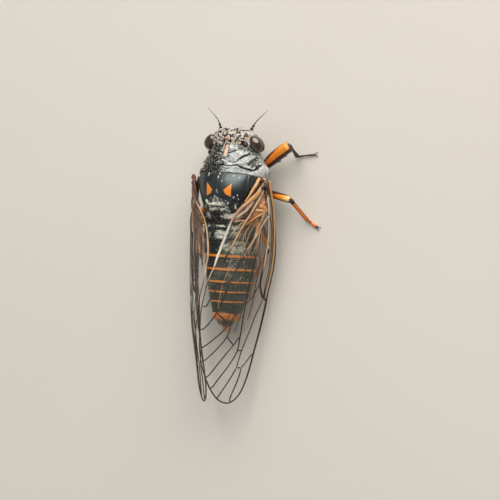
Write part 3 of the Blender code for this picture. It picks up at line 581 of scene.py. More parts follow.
# The abdomen
# Eight ringed back plates slide over one another like the tubes of a spyglass, each of dark
# olive-grey chitin with a thin orange hind rim. Flatter plates close the belly below.
SEGMENT_REARS = (11.55, 12.7, 14.65, 16.12, 17.5, 18.6, 19.68, 20.9)
RIM_WIDTHS = (0.0, 0.0, 0.29, 0.28, 0.24, 0.21, 0.2, 0.0)
PALE_PATCHES = {    # of the first three back plates
    1: ((1.3, (0, 11.2), (0.6, 0.12)), (1.0, (1.75, 11.35), (0.5, 0.3)), (0.8, (-1.7, 11.2), (0.3, 0.2))),
    2: ((1.5, (0, 12.1), (0.6, 0.42)), (0.9, (0.3, 11.85), (0.5, 0.12)), (0.9, (1.9, 11.95), (0.5, 0.35)),
        (0.6, (-1.6, 12.2), (0.3, 0.3))),
    3: ((0.75, (1.75, 13.75), (1.2, 0.35)), (0.7, (0.7, 13.3), (0.5, 0.2)),
        (0.65, (1.9, 12.85), (0.8, 0.25))),
}
TUCK = 0.34              # how far a plate slides under the one before it
PLATE_THICK, PLATE_ROLL = 0.1, 0.05
RIM_ORANGE = ("FF9A2C", "F08420")

tergite_shine = wrinkled_chitin("olive_chitin", "0D100E", "1B211D", 0.3, "A4AB97", 0.9, 0.004,
                                (("rim", RIM_ORANGE),), speck=0.2, dust_2="DEDECC")
tergite_grids, tergite_piles = [], []
front = METANOTUM_REAR - 0.25
for number, (rear, rim_width) in enumerate(zip(SEGMENT_REARS, RIM_WIDTHS), start=1):
    turn, share = spread_over(-0.62, pi + 0.62, 220, 64)
    curve = 0.12 * np.abs(np.cos(turn)) ** 3 * (number > 2)
    back = front + (rear - front) * share - curve * share
    grid = trunk(turn, back, -0.17 + 0.19 * held(share * 1.5) ** 0.8, 1.0)
    wave = 0.012 * np.sin(40 * share + 3 * np.cos(3 * turn)) * (1 - share)
    lip = 0.03 * held(1 - (rear - back) / 0.3) ** 0.5
    pinch = 0.05 * groove(np.abs(back - rear + 0.42), 0.16)
    grid = raised(grid, wave + lip - pinch)
    width = rim_width * (0.62 + 0.38 * np.sin(held(turn, pi)))
    rim = back - (rear - curve - width) if rim_width else np.full(turn.shape, -1.0)
    streaks = rough_field(grid * (0.8, 2.4, 0.8), 0.35, number + 40)
    pile = 0.12 + 0.3 * blot(grid[..., 0], share, (1.6, 0.6), (1.2, 0.4)) * (2 < number < 6)
    pile = pile + blots(grid[..., 0], back, PALE_PATCHES.get(number, ()))
    pile = pile + 0.9 * streaks * held(pile - 0.1, 0.6)
    pile = held(pile * (0.3 if number == 8 else 1), 1.5) * (rim < 0.02)
    make_plate(f"tergite_{number}", grid, PLATE_THICK, PLATE_ROLL, tergite_shine, "haired_cuticle",
               *{1: [], 2: ["abdomen_base"]}.get(number, [f"abdomen_segment_{number}"]), bloom=pile, rim=rim)
    tergite_grids.append(grid)
    tergite_piles.append(pile)
    front = rear - TUCK

belly = wrinkled_chitin("belly_chitin", "2A211A", "5A3A22", 0.4, "B9AE92", 0.6, 0.004, (("rim", RIM_ORANGE),))
front = 12.2
for number, rear in enumerate(SEGMENT_REARS[2:], start=3):
    turn, share = spread_over(pi + 0.5, 2 * pi - 0.5, 120, 50)
    back = front + (rear - 0.1 - front) * share
    grid = trunk(turn, back, -0.14 + 0.17 * held(share * 1.5), 1.0)
    make_plate(f"sternite_{number}", grid, PLATE_THICK, PLATE_ROLL, belly, "haired_cuticle",
               bloom=0.3 + 0 * turn, rim=back - (rear - 0.1 - 0.3))
    front = rear - TUCK

# The head
# One hard black capsule, as wide as the shield behind it, ridged and dusted with cream scales.
# Three small amber ocelli sit on its crown, and a tan rim holds each eye in its socket.
# Columns: right, front, rear, underside, top.
HEAD = (
    (0.0, 0.12, 2.75, 2.3, 5.66), (0.6, 0.12, 2.75, 2.35, 5.66), (1.2, 0.18, 2.72, 2.45, 5.55),
    (1.8, 0.34, 2.72, 2.6, 5.32), (2.3, 0.62, 2.72, 2.85, 5.02), (2.7, 1.05, 2.6, 3.2, 4.65),
    (2.95, 1.45, 2.3, 3.7, 4.4),
)
OCELLI = ((0.0, 0.98), (0.42, 1.5), (-0.42, 1.5))
OCELLUS_SIZE = (0.11, 0.11, 0.1)
EYE_CENTRE = (2.88, 1.86, 4.15)
LEFT_EYE_SHIFT = np.array((-0.12, 0.0, 0.22))    # the left eye sits a little higher
EYE_AXES = ((0.63, 0.68, -0.37), (0.59, -0.73, -0.34), (0.5, 0.0, 0.87))    # long, short, outward
EYE_SIZE = (1.08, 0.78, 0.86)
HEAD_CREAM = ("ACAAA6", "F2E8DC")
HEAD_SWELLS = ((0.1, (0, 1.3), (0.75, 0.6)), (0.1, (1.65, 0.45), (0.45, 0.22)))
HEAD_BARE = ((0.8, (2.05, 2.15), (0.3, 0.18)), (0.8, (0.3, 2.2), (0.5, 0.15)))
HEAD_FURROWS = (    # depth, half width, line
    (0.11, 0.16, ((0.6, 0.55), (0.95, 1.2), (0.8, 1.95))), (0.08, 0.14, ((1.1, 0.75), (2.1, 0.9))),
)
DASHES = (    # short black dashes on the crown, the same on both halves
    ((0.25, 0.55), (0.55, 0.4)), ((0.62, 0.95), (0.66, 1.2)), ((0.95, 0.8), (1.25, 0.72)),
    ((1.55, 0.5), (1.8, 0.42)), ((0.15, 1.62), (0.5, 1.78)), ((1.15, 1.3), (1.3, 1.15)),
    ((1.62, 1.35), (1.85, 1.4)), ((1.75, 1.7), (2.0, 1.8)), ((1.45, 2.0), (1.85, 2.1)),
    ((0.3, 1.05), (0.42, 1.28)), ((1.9, 0.85), (2.1, 1.1)), ((0.95, 1.75), (1.1, 1.6)),
    ((0.7, 0.3), (0.9, 0.45)), ((1.35, 1.65), (1.5, 1.75)),
)
TAN_SPOTS = ((0.2, 1.42, 0.34), (1.42, 1.85, 0.36), (2.1, 1.3, 0.3), (0.6, 0.6, 0.22))    # place, size

turn, right = right_round(170, -2.95, 2.95, 190)
front, rear, low, top = along(HEAD, np.abs(right))
back = (front + rear) / 2 - (rear - front) / 2 * power(np.cos(turn), 0.8)
high = (low + top) / 2 + (top - low) / 2 * power(np.sin(turn), 0.85)
grid = np.stack([right, back, high], -1)
crown = held((high - 4.6) / 0.6)
away = np.abs(right)
relief = blots(away, back, HEAD_SWELLS) - 0.09 * groove(away, 0.12) * (back > 1.2)
for deep, width, line in HEAD_FURROWS:
    relief -= deep * groove(off_line(away, back, line), width)
relief += 0.1 * rough_field(grid * (1.0, 0.7, 1.0), 0.34, 1)
from_eye = np.stack([away, back, high], -1) - EYE_CENTRE
eye_far = np.linalg.norm(from_eye @ np.array(EYE_AXES).T / EYE_SIZE, axis=-1)
rim = np.exp(-((eye_far - 1.12) / 0.1) ** 2)
grid = raised(grid, relief * crown + 0.1 * rim, wrap=True)
head_grid = grid
dash = np.min([off_line(away, back, line) for line in DASHES], axis=0) + 0.08 * rough_field(grid, 0.12, 9)
head_pile = 0.85 + rough_field(grid * (1.0, 0.6, 1.0), 0.26, 3) - 1.6 * held(1.6 - dash / 0.075)
head_pile -= blots(away, back, HEAD_BARE)
head_pile = held(head_pile * np.clip(high - 3, 0.2, 1), 1.4)
tan = np.max([0.6 - np.hypot(away - r, back - b) / size for r, b, size in TAN_SPOTS], axis=0) * crown
tan -= 1 - crown
fine = rough_field(grid, 0.12, 10)
fit(make_bag("head_capsule", grid,
             wrinkled_chitin("scaled_head_chitin", "0E0D0B", "1E1B16", 0.34, HEAD_CREAM[0], 0.95, 0.008,
                             (("socket_rim", ("B98A52", "8F6236")), ("tan", ("E8C49C", "CFA072"))), 0.2,
                             dust_2=HEAD_CREAM[1]),
             bloom=head_pile - 2 * held(tan * 4 + fine), socket_rim=rim - 0.72,
             tan=tan * 0.4 - 0.04 + 0.06 * fine), "haired_cuticle", "head")


def ball(centre, size, rounds=48, rings=32):
    """A grid round an upright egg with the given centre and half sizes."""
    turn, rise = right_round(rounds, 0.02 - pi / 2, pi / 2 - 0.02, rings)
    offset = np.stack([np.cos(rise) * np.cos(turn), np.cos(rise) * np.sin(turn), np.sin(rise)], -1)
    return np.asarray(centre) + offset * np.asarray(size)


def merge(pieces, name):
    """Join several pieces into one object and keep its first material."""
    first = pieces[0]
    with bpy.context.temp_override(active_object=first, selected_editable_objects=pieces):
        bpy.ops.object.join()
    first.name = name
    first.data.name = name
    return first


def glassy(name, ground, patches, shine):
    """Clear-topped chitin lens or claw: deep colour under a wet-looking gloss."""
    material, tree, where, shader = new_material(name)
    patch = add(tree, "TexNoise", {"Vector": where, "Scale": METRE / 0.5, "Detail": 4.0})
    colour = add(tree, "Mix", {"Factor": patch, "A": ground, "B": patches}, **COLOURS)
    rough = add(tree, "MapRange", {"Value": patch, "To Min": shine, "To Max": shine + 0.1})
    wire(tree, shader, {"Base Color": colour, "Roughness": rough, "Coat Weight": 0.6, "Coat Roughness": 0.06,
                        "IOR": 1.56})
    return material


ocellus_glass = glassy("ocellus_lens", "5A2412", "8E4420", 0.1)
beads = []
for right, back in OCELLI:
    bead = ball((right, back, along(HEAD, np.array(abs(right)))[3] + 0.05), OCELLUS_SIZE, 28, 18)
    beads.append(make_bag("ocellus", bead, ocellus_glass))
fit(merge(beads, "ocelli"), "compound_eye")

# The eyes
# Two bulging compound eyes of thousands of facets, dark brown under a wet-looking gloss.
# A facet is a fortieth of a millimetre wide; here they are drawn twice as wide, so that they show.
FACET = 0.05
SIDES = (("right", 1), ("left", -1))


def faceted_eye():
    """Brown lens chitin: near black in its depth, warm brown where light meets it."""
    material, tree, where, shader = new_material("compound_eye_facets")
    cells = add(tree, "TexVoronoi", {"Vector": where, "Scale": METRE / FACET, "Randomness": 0.25})
    patch = add(tree, "TexNoise", {"Vector": where, "Scale": METRE / 1.1, "Detail": 2.0})
    colour = add(tree, "Mix", {"Factor": patch, "A": "26140B", "B": "402617"}, **COLOURS)
    rough = add(tree, "MapRange", {"Value": cells, "From Max": 0.6, "To Min": 0.24, "To Max": 0.34})
    bump = add(tree, "Bump", {"Height": cells, "Strength": 0.3, "Distance": 0.002 * MM}, invert=True)
    wire(tree, shader, {"Base Color": colour, "Roughness": rough, "Normal": bump, "IOR": 1.4,
                        "Coat Weight": 1.0, "Coat Roughness": 0.07, "Coat IOR": 1.95, "Coat Tint": "FFF4EA"})
    return material


eye_facets = faceted_eye()
for side_name, hand in SIDES:
    egg = ball((0, 0, 0), EYE_SIZE, 96, 64) @ np.array(EYE_AXES) + EYE_CENTRE
    egg = egg + (LEFT_EYE_SHIFT if hand == -1 else 0)
    fit(make_bag(f"compound_eye_{side_name}", egg * (hand, 1, 1), eye_facets), "compound_eye",
        f"eye_{side_name}")

# The face
# The swollen grooved plate over the sucking pump, black with rust-brown ribs, the small plate
# below it, and the jointed beak that lies back between the hips.
FACE_CENTRE = (0.0, 1.32, 3.2)
FACE_SIZE = (1.35, 1.28, 1.72)
FACE_RIBS = 9
BEAK_JOINTS = (    # start, end, half widths
    ((0, 1.5, 1.35), (0, 2.5, 0.98), (0.3, 0.27, 0.22)),
    ((0, 2.4, 1.0), (0, 4.4, 0.85), (0.21, 0.19, 0.18)),
    ((0, 4.3, 0.86), (0, 6.3, 0.78), (0.18, 0.15, 0.08)),
)

grid = ball(FACE_CENTRE, FACE_SIZE, 180, 150)
away = np.abs(grid[..., 0])
ribs = np.cos((grid[..., 2] - 0.45 * away) * 2 * pi * FACE_RIBS / 3.4)
flank = held((away - 0.22) / 0.2) * held((1.3 - away) / 0.4) * (grid[..., 1] < 1.4)
relief = 0.045 * ribs * flank - 0.06 * groove(away, 0.1) * (grid[..., 2] < 3.4)
grid = raised(grid, relief, wrap=True)
fit(make_bag("ribbed_face", grid,
             wrinkled_chitin("face_chitin", "12110F", "2A221B", 0.34, "B8AF98", 0.55, 0.004,
                             (("rib", ("7A4A2A", "A9743F")),)),
             bloom=0.35 + 0.1 * ribs, rib=(ribs * flank - 0.86) * 0.3), "haired_cuticle", "clypeus")


def run_along(spots):
    """Return how far along a line each of its places lies."""
    return np.concatenate([[0], np.cumsum(np.linalg.norm(np.diff(spots, axis=0), axis=1))])


def smooth_path(spots, count):
    """Spread places evenly along a smooth curve through the given places."""
    run = run_along(spots)
    return np.stack(along(np.column_stack([run, spots]), np.linspace(0, run[-1], count)), -1)


def rod(path, radii, sides, flat=1.0, up=(0, 0, 1)):
    """A grid of places round a path; flat narrows or widens it across its up direction."""
    ahead = unit(np.gradient(path, axis=0))
    beside = unit(np.cross(ahead, up))
    over = np.cross(beside, ahead)
    turns = np.linspace(0, 2 * pi, sides, endpoint=False)[:, None, None]
    return path + (beside * np.cos(turns) * flat + over * np.sin(turns)) * np.reshape(radii, (-1, 1))


def round_ended(path, widths, blunt=1.0):
    """Radii along a path from evenly spread widths, rounded off at both ends."""
    run = run_along(path)
    radii = along(np.column_stack([np.linspace(0, run[-1], len(widths)), widths]), run)[0]
    for end, width in ((run, widths[0]), (run[-1] - run, widths[-1])):
        near = held(1 - end / (width * blunt + 1e-6))
        radii = radii * np.sqrt(np.clip(1 - near**2, 0.0004, 1))
    return radii


def make_rod(name, spots, widths, material, count, sides, flat=1.0, **marks):
    """Make a round-ended bar through places."""
    path = smooth_path(spots, count)
    return make_bag(name, rod(path, round_ended(path, widths), sides, flat), material, **marks)


beak_chitin = wrinkled_chitin("beak_chitin", "17120E", "4A3120", 0.35, "8A7A60", 0.3, 0.003)
beak = [make_bag("small_face", ball((0, 1.35, 1.75), (0.5, 0.5, 0.55), 40, 30), beak_chitin, bloom=0.2)]
for start, end, widths in BEAK_JOINTS:
    beak.append(make_rod("beak_joint", (start, end), widths, beak_chitin, 24, 20, 1.1, bloom=0.15))
fit(merge(beak, "beak"), "black_cuticle", "rostrum")

# The feelers
# Two short thick joints and a fine black whip of five, each a little thinner than the last.
FEELER_PATH = (
    (1.95, 0.35, 3.95), (2.1, 0.05, 3.95), (2.25, -0.3, 3.9), (2.65, -0.8, 3.88), (3.15, -1.25, 3.92),
    (3.6, -1.62, 3.98), (4.0, -1.95, 4.05),
)
FEELER_LEFT_SWING = 0.9
feeler_chitin = wrinkled_chitin("feeler_chitin", "0E0D0C", "241C16", 0.35, "6B6458", 0.2, 0.002)
for side_name, hand in SIDES:
    swing = 1.0 if hand == 1 else FEELER_LEFT_SWING
    path = [(hand * (1.95 + (r - 1.95) * swing), b, h) for r, b, h in FEELER_PATH]
    parts = [make_rod("scape", path[:2], (0.2, 0.21), feeler_chitin, 16, 18, bloom=0.1),
             make_rod("pedicel", path[1:3], (0.13, 0.15), feeler_chitin, 16, 18, bloom=0.1)]
    whip = smooth_path(path[2:], 61)
    for joint in range(5):
        widths = (0.08 - 0.013 * joint) * np.array((1, 0.75, 0.8))
        parts.append(make_rod("whip", whip[joint * 12:joint * 12 + 13], widths, feeler_chitin, 12, 10,
                              bloom=0.1))
    fit(merge(parts, f"feeler_{side_name}"), "black_cuticle", f"antenna_{side_name}")

# The timbals and their covers
# The drum skins of the song, one each side of the abdomen's root: yellow, springy, with dark
# slanting ribs. Below the body a hard flap of chitin covers each hearing chamber.
TIMBAL_CENTRE = (3.42, 10.64, 4.12)
TIMBAL_SIZE = (0.48, 0.46, 0.6)
TIMBAL_RIBS = 5
FLAP_CENTRE = (1.75, 11.85, 0.98)
FLAP_SIZE = (0.95, 0.75, 0.24)

drum_skin = wrinkled_chitin("drum_skin", "FFB426", "FFD860", 0.3, "E8D9A8", 0.2, 0.002,
                            (("rib", ("3B1E0E", "5A3216")),))
flap_chitin = wrinkled_chitin("flap_chitin", "1C1712", "4A3322", 0.38, "B9AE92", 0.5, 0.004,
                              (("edge", ("B98A52", "8F6236")),))
for side_name, hand in SIDES:
    centre = np.array(TIMBAL_CENTRE) * (hand, 1, 1) + (0.0 if hand == 1 else 0.2, 0, 0)
    grid = ball(centre, TIMBAL_SIZE, 120, 90)
    ribs = np.cos((grid[..., 1] - 0.45 * (grid[..., 2] - centre[2])) * 2 * pi * TIMBAL_RIBS / 1.1)
    grid = raised(grid, 0.03 * ribs, wrap=True)
    fit(make_bag(f"timbal_{side_name}", grid, drum_skin, bloom=0.1, rib=(ribs - 0.72) * 0.05), "timbal",
        f"timbal_{side_name}")
    centre = np.array(FLAP_CENTRE) * (hand, 1, 1)
    grid = ball(centre, FLAP_SIZE, 120, 60)
    out = np.linalg.norm(((grid - centre) / FLAP_SIZE)[..., :2], axis=-1)
    grid[..., 2] += 0.05 * np.exp(-((out - 0.8) / 0.1) ** 2) * np.sign(grid[..., 2] - centre[2])
    fit(make_bag(f"flap_{side_name}", grid, flap_chitin, bloom=0.3, edge=(out - 0.93) * 0.5),
        "haired_cuticle", f"operculum_{side_name}")

# The tail
# The last ring, a horn-brown cup with an orange hind part, and the anal tube that stands out
# of it. A ragged brush of orange bristles grows round both.
TAIL_PATH = ((0, 20.4, 3.25), (0, 21.2, 3.25), (0, 21.9, 3.2), (0, 22.35, 3.15))
TAIL_WIDTHS = (1.62, 1.42, 1.05, 0.72)
TUBE_PATH = ((0, 21.9, 3.25), (0, 22.5, 3.2), (0, 23.0, 3.1))

tail_chitin = wrinkled_chitin("tail_chitin", "2A1A10", "5A2E14", 0.35, "C9A878", 0.3, 0.004,
                              (("orange_end", ("FF9A24", "F07C14")), ("salmon", ("E89A72", "D27A50"))))
path = smooth_path(TAIL_PATH, 60)
grid = rod(path, round_ended(path, TAIL_WIDTHS, 0.6), 96, 1.02)
tail_grid = grid
streaks = 0.35 * rough_field(grid * (3.0, 0.8, 1.0), 0.5, 51)
lid = np.clip(1 - np.abs(grid[..., 1] - 21.18) / 0.3 + streaks, -1, 1)
cup = make_bag("tail_cup", grid, tail_chitin, bloom=0.2, orange_end=lid * 0.1, salmon=-1.0)
path = smooth_path(TUBE_PATH, 40)
grid = rod(path, round_ended(path, (0.44, 0.4, 0.3), 0.8), 48)
tube = make_bag("anal_tube", grid, tail_chitin, bloom=0.2, orange_end=-1, salmon=(grid[..., 1] - 22.3) * 0.15)
fit(merge([cup, tube], "tail"), "orange_cuticle", "pygofer")

# The legs
# Jointed tubes of orange and black chitin. The fore thighs are swollen and carry spines below,
# for digging as a nymph and for grip. Each foot has three short joints and a pair of claws.
LEGS = {
    "fore": {"coxa": (1.5, 4.5, 1.95), "hip": (2.85, 4.2, 2.0), "knee": (6.6, 1.8, 3.2),
             "ankle": (6.1, 2.85, 0.5), "toe": (8.15, 2.55, 0.16), "thigh": (0.5, 0.64, 0.69, 0.68, 0.6),
             "shin": (0.22, 0.17, 0.19, 0.27)},
    "mid": {"coxa": (1.5, 7.0, 1.9), "hip": (2.95, 7.0, 1.85), "knee": (7.0, 7.8, 2.9),
            "ankle": (7.94, 9.9, 0.5), "toe": (9.1, 10.6, 0.16), "thigh": (0.27, 0.38, 0.41, 0.42, 0.38),
            "shin": (0.27, 0.22, 0.22, 0.24)},
    "hind": {"coxa": (1.2, 9.7, 1.8), "hip": (2.3, 10.0, 1.45), "knee": (3.9, 13.4, 1.45),
             "ankle": (1.4, 17.2, 0.5), "toe": (0.95, 18.65, 0.16), "thigh": (0.24, 0.34, 0.34, 0.3, 0.26),
             "shin": (0.2, 0.14, 0.14, 0.18)},
}
DRAWN_IN = {    # the left fore and middle legs
    "fore": {"knee": (3.9, 0.95, 1.3), "ankle": (5.3, 3.0, 0.5), "toe": (5.95, 3.9, 0.16)},
    "mid": {"knee": (5.25, 10.3, 1.5), "ankle": (5.6, 13.4, 0.5), "toe": (5.78, 14.65, 0.16)},
}
FOOT_JOINTS = ((0.0, 0.16, 0.16), (0.14, 0.34, 0.155), (0.31, 1.0, 0.15))    # start, end, half width
FORE_FOOT_SHARE = 0.62     # the fore feet are thinner than the others
SPINES = ((0.3, 0.75, 0.35), (0.58, 0.5, 0.3), (0.8, 0.3, 0.3))    # place on the thigh, length, lean
CLAW = ((0, 0, 0), (0.16, 0.12, 0.06), (0.3, 0.2, -0.01), (0.34, 0.22, -0.13))    # ahead, beside, up

leg_dark = wrinkled_chitin("leg_black_chitin", "100E0D", "2A1C16", 0.34, "8E8B82", 0.6, 0.003)
leg_striped = wrinkled_chitin("leg_orange_chitin", "EA7214", "F68A18", 0.3, "E8C9A0", 0.15, 0.003,
                              (("amber", ("FFA62C", "F89422")), ("pale", ("FFE6AE", "FFD48A")),
                               ("russet", ("C4481A", "A8380F")), ("stripe", ("4A1409", "2A0E08")),
                               ("soot", ("0F0D0C", "1C1713"))))
claw_horn = glassy("claw_horn", "140B07", "3A1C10", 0.15)


def leg_rod(name, start, end, widths, material, bow=0.0, count=64, sides=32, paint=None):
    """Make one joint of a leg, bowed a little up, with painted marks along and round it."""
    share = np.linspace(0, 1, 7)[:, None]
    path = start + (end - start) * share + np.array([0, 0, bow]) * (4 * share * (1 - share))
    path = smooth_path(path, count)
    turn, run = right_round(sides, 0, 1, count)
    marks = {"amber": -1, "pale": -1, "russet": -1, "stripe": -1, "soot": -1}
    marks |= paint(turn, run) if paint else {}
    return make_bag(name, rod(path, round_ended(path, widths, 0.6), sides), material, bloom=0.25, **marks)


def thigh_paint(hand, pale):
    """Amber at the knee, rust-red at the hip, a dark band along the rear with painted shade along the
    underside, and thinly dark along the front near the hip; pale says how wide the knee's pale end is."""
    def paint(turn, run):
        front = np.cos(turn) * hand
        # The rear band is the leg's own colour; the dark on the underside is painted shade.
        rear = np.maximum(0.5 * (-front - 0.62 - 0.3 * held(run - 0.6)), 0.4 * (-np.sin(turn) - 0.7))
        thin = 0.5 * (front - 0.2 - 1.2 * held(run - 0.35))
        return {"amber": (run - 0.62) * 0.12, "pale": (run - 1 + pale) * 0.2, "russet": (0.25 - run) * 0.12,
                "stripe": np.maximum(rear, thin), "soot": (run - 0.985) * 2}
    return paint


def shin_paint(amount):
    """Sooty over the given share of the length from the knee, and at the ankle."""
    return lambda turn, run: {"stripe": 0.15 * (np.cos(turn) - 0.85),
                              "soot": np.maximum(amount - run, (run - 0.94)) * 1.2}


for leg, sizes in LEGS.items():
    fore = leg == "fore"
    for side_name, hand in SIDES:
        posed = sizes | (DRAWN_IN.get(leg, {}) if hand == -1 else {})
        coxa, hip, knee, ankle, toe = (np.array(posed[key]) * (hand, 1, 1)
                                       for key in ("coxa", "hip", "knee", "ankle", "toe"))
        thick = sizes["thigh"][0]
        thigh = knee - hip
        parts = [leg_rod("coxa", coxa, hip, thick * np.array((1.9, 2.0, 1.35)), leg_dark, 0.1),
                 leg_rod("trochanter", hip - thigh * 0.04, hip + thigh * 0.1, thick * np.array((1, 1.15, 1)),
                         leg_dark)]
        fit(merge(parts, f"{leg}_hip_{side_name}"), "black_cuticle")
        parts = [leg_rod("thigh", hip + thigh * 0.04, knee, sizes["thigh"], leg_striped,
                         0.16 if fore else 0.12, paint=thigh_paint(hand, 0.0 if fore else 0.16))]
        for share, long, lean in SPINES if fore else ():
            along_thigh = unit(thigh)
            rearward = np.cross(along_thigh, (0, 0, 1)) * -hand
            root = hip + thigh * share - (0, 0, 0.35) + rearward * 0.3
            tip = root + along_thigh * (lean + long * 0.6) - (0, 0, long * 0.6) + rearward * 0.25
            parts.append(leg_rod("spine", root, tip, (0.13, 0.09, 0.03), leg_striped, 0, 20, 14,
                                 lambda turn, run: {"stripe": run - 0.1, "soot": run - 0.4}))
        fit(merge(parts, f"{leg}_thigh_{side_name}"), "orange_cuticle", f"{leg}_femur_{side_name}")
        parts = [leg_rod("shin", knee + (0, 0, 0.05), ankle, sizes["shin"], leg_striped,
                         paint=shin_paint(1.1 if fore else 0.16))]
        for turn in (-0.8, 0.8):
            across = np.array([sin(turn), cos(turn), 0]) * 0.14
            parts.append(leg_rod("spur", ankle + across * 0.6, ankle + across * 1.6 - (0, 0, 0.28),
                                 (0.05, 0.035, 0.015), leg_striped, 0, 14, 10,
                                 lambda turn, run: {"stripe": 1 + run, "soot": run - 0.3}))
        fit(merge(parts, f"{leg}_shin_{side_name}"), "orange_cuticle", f"{leg}_tibia_{side_name}")
        sole = np.array([ankle[0], ankle[1], 0.2]) + (toe - ankle) * (0.06, 0.06, 0)
        foot_path = smooth_path((ankle - (0, 0, 0.12), sole, (sole + toe) / 2 + (0, 0, 0.08), toe), 61)
        run = np.linspace(0, 1, 30)[None, :] + np.zeros((20, 1))
        parts = []
        for start, end, width in FOOT_JOINTS:
            path = smooth_path(foot_path[round(start * 60):round(end * 60) + 1], 30)
            width *= FORE_FOOT_SHARE if fore else 1
            grid = rod(path, round_ended(path, (width * 0.85, width, width * 1.1), 0.9), 20)
            dark = 1.1 if fore and start < 0.3 else 0.12
            parts.append(make_bag("foot_joint", grid, leg_striped, bloom=0.2, amber=-1, pale=-1,
                                  russet=0.1 if fore else -1, stripe=0.1 if fore else (run - 0.8) * 0.3,
                                  soot=np.maximum(dark - run, run - 0.93) * 0.5))
        fit(merge(parts, f"{leg}_foot_{side_name}"), "orange_cuticle", f"{leg}_tarsus_{side_name}")
        ahead = unit((toe - sole) * (1, 1, 0))
        claws = []
        for way in (-1, 1):
            axes = np.array([ahead, (-ahead[1] * way, ahead[0] * way, 0), (0, 0, 1)])
            claws.append(make_rod("claw", toe + CLAW @ axes, (0.055, 0.05, 0.04, 0.012), claw_horn, 24, 12))
        fit(merge(claws, f"{leg}_claws_{side_name}"), "black_cuticle", f"{leg}_tarsus_{side_name}")

# The wings
# Clear skins of chitin a few hundredths of a millimetre thick, stretched over branching veins.
# Closed over the abdomen like a roof; the veins are tan at the root and black toward the tip.
# A wing is drawn flat (back from its root, out from its middle line) and laid on the roof.
# Roof columns: back, leading line with its right and high, the same of the trailing line, bulge.
WING_ROOT_BACK = 6.0
ROOF_RIGHT = (
    (0.0, 0.9, 4.62, 3.4, -0.4, 4.42, 4.6, 0.0), (1.5, 1.6, 4.8, 3.1, -1.2, 4.15, 5.3, 0.15),
    (3.0, 1.75, 4.9, 2.85, -2.2, 3.35, 6.15, 0.6), (6.1, 1.8, 4.99, 2.15, -4.1, 1.42, 6.5, 1.25),
    (8.7, 1.7, 4.87, 1.75, -5.2, 0.6, 6.9, 1.35), (11.9, 1.4, 4.3, 1.6, -6.85, -0.1, 7.95, 1.15),
    (13.4, 1.05, 4.02, 1.6, -7.3, -0.18, 8.3, 0.95), (16.4, 0.35, 3.55, 1.75, -7.55, -0.22, 8.55, 0.65),
    (19.0, -0.25, 3.1, 1.95, -7.3, -0.22, 8.3, 0.4), (21.8, -1.0, 2.6, 2.1, -7.1, -0.2, 7.75, 0.3),
    (24.8, -1.7, 2.0, 2.1, -7.0, -0.1, 7.0, 0.2),
)
LEFT_EDGES = (    # the left wing's own, from its fourth row: leading right, trailing right and high
    (5.05, 1.5, 6.45), (5.1, 0.9, 6.8), (4.95, 0.62, 7.75), (4.8, 0.7, 8.1), (4.35, 0.74, 8.35),
    (3.75, 0.72, 8.1), (2.95, 0.55, 7.55), (2.15, 0.35, 6.8),
)
ROOF_LEFT = ROOF_RIGHT[:3] + tuple((*row[:2], lead, *row[3:5], trail, high, row[7])
                                   for row, (lead, trail, high) in zip(ROOF_RIGHT[3:], LEFT_EDGES))
WINGS = (("right", 1, ROOF_RIGHT), ("left", -1, ROOF_LEFT))
FOREWING_OUTLINE = (
    (0.0, 0.9), (1.2, 1.55), (3.0, 1.75), (6.0, 1.8), (8.5, 1.7), (11.0, 1.5), (13.0, 1.15), (15.0, 0.72),
    (17.5, 0.12), (20.0, -0.5), (22.0, -1.15), (23.5, -1.85), (24.4, -2.7), (24.8, -3.6), (24.7, -4.5),
    (24.2, -5.3), (23.2, -6.0), (21.8, -6.6), (20.0, -7.05), (18.0, -7.35), (16.0, -7.5), (14.3, -7.4),
    (12.5, -7.0), (11.0, -6.4), (9.8, -5.75), (8.5, -5.2), (7.0, -4.6), (5.8, -4.15), (4.9, -3.8),
    (3.9, -3.3), (3.1, -2.8), (2.1, -2.0), (1.3, -1.25), (0.6, -0.7), (0.0, -0.2),
)
MAIN_VEIN, FINE_VEIN = 0.09, 0.064
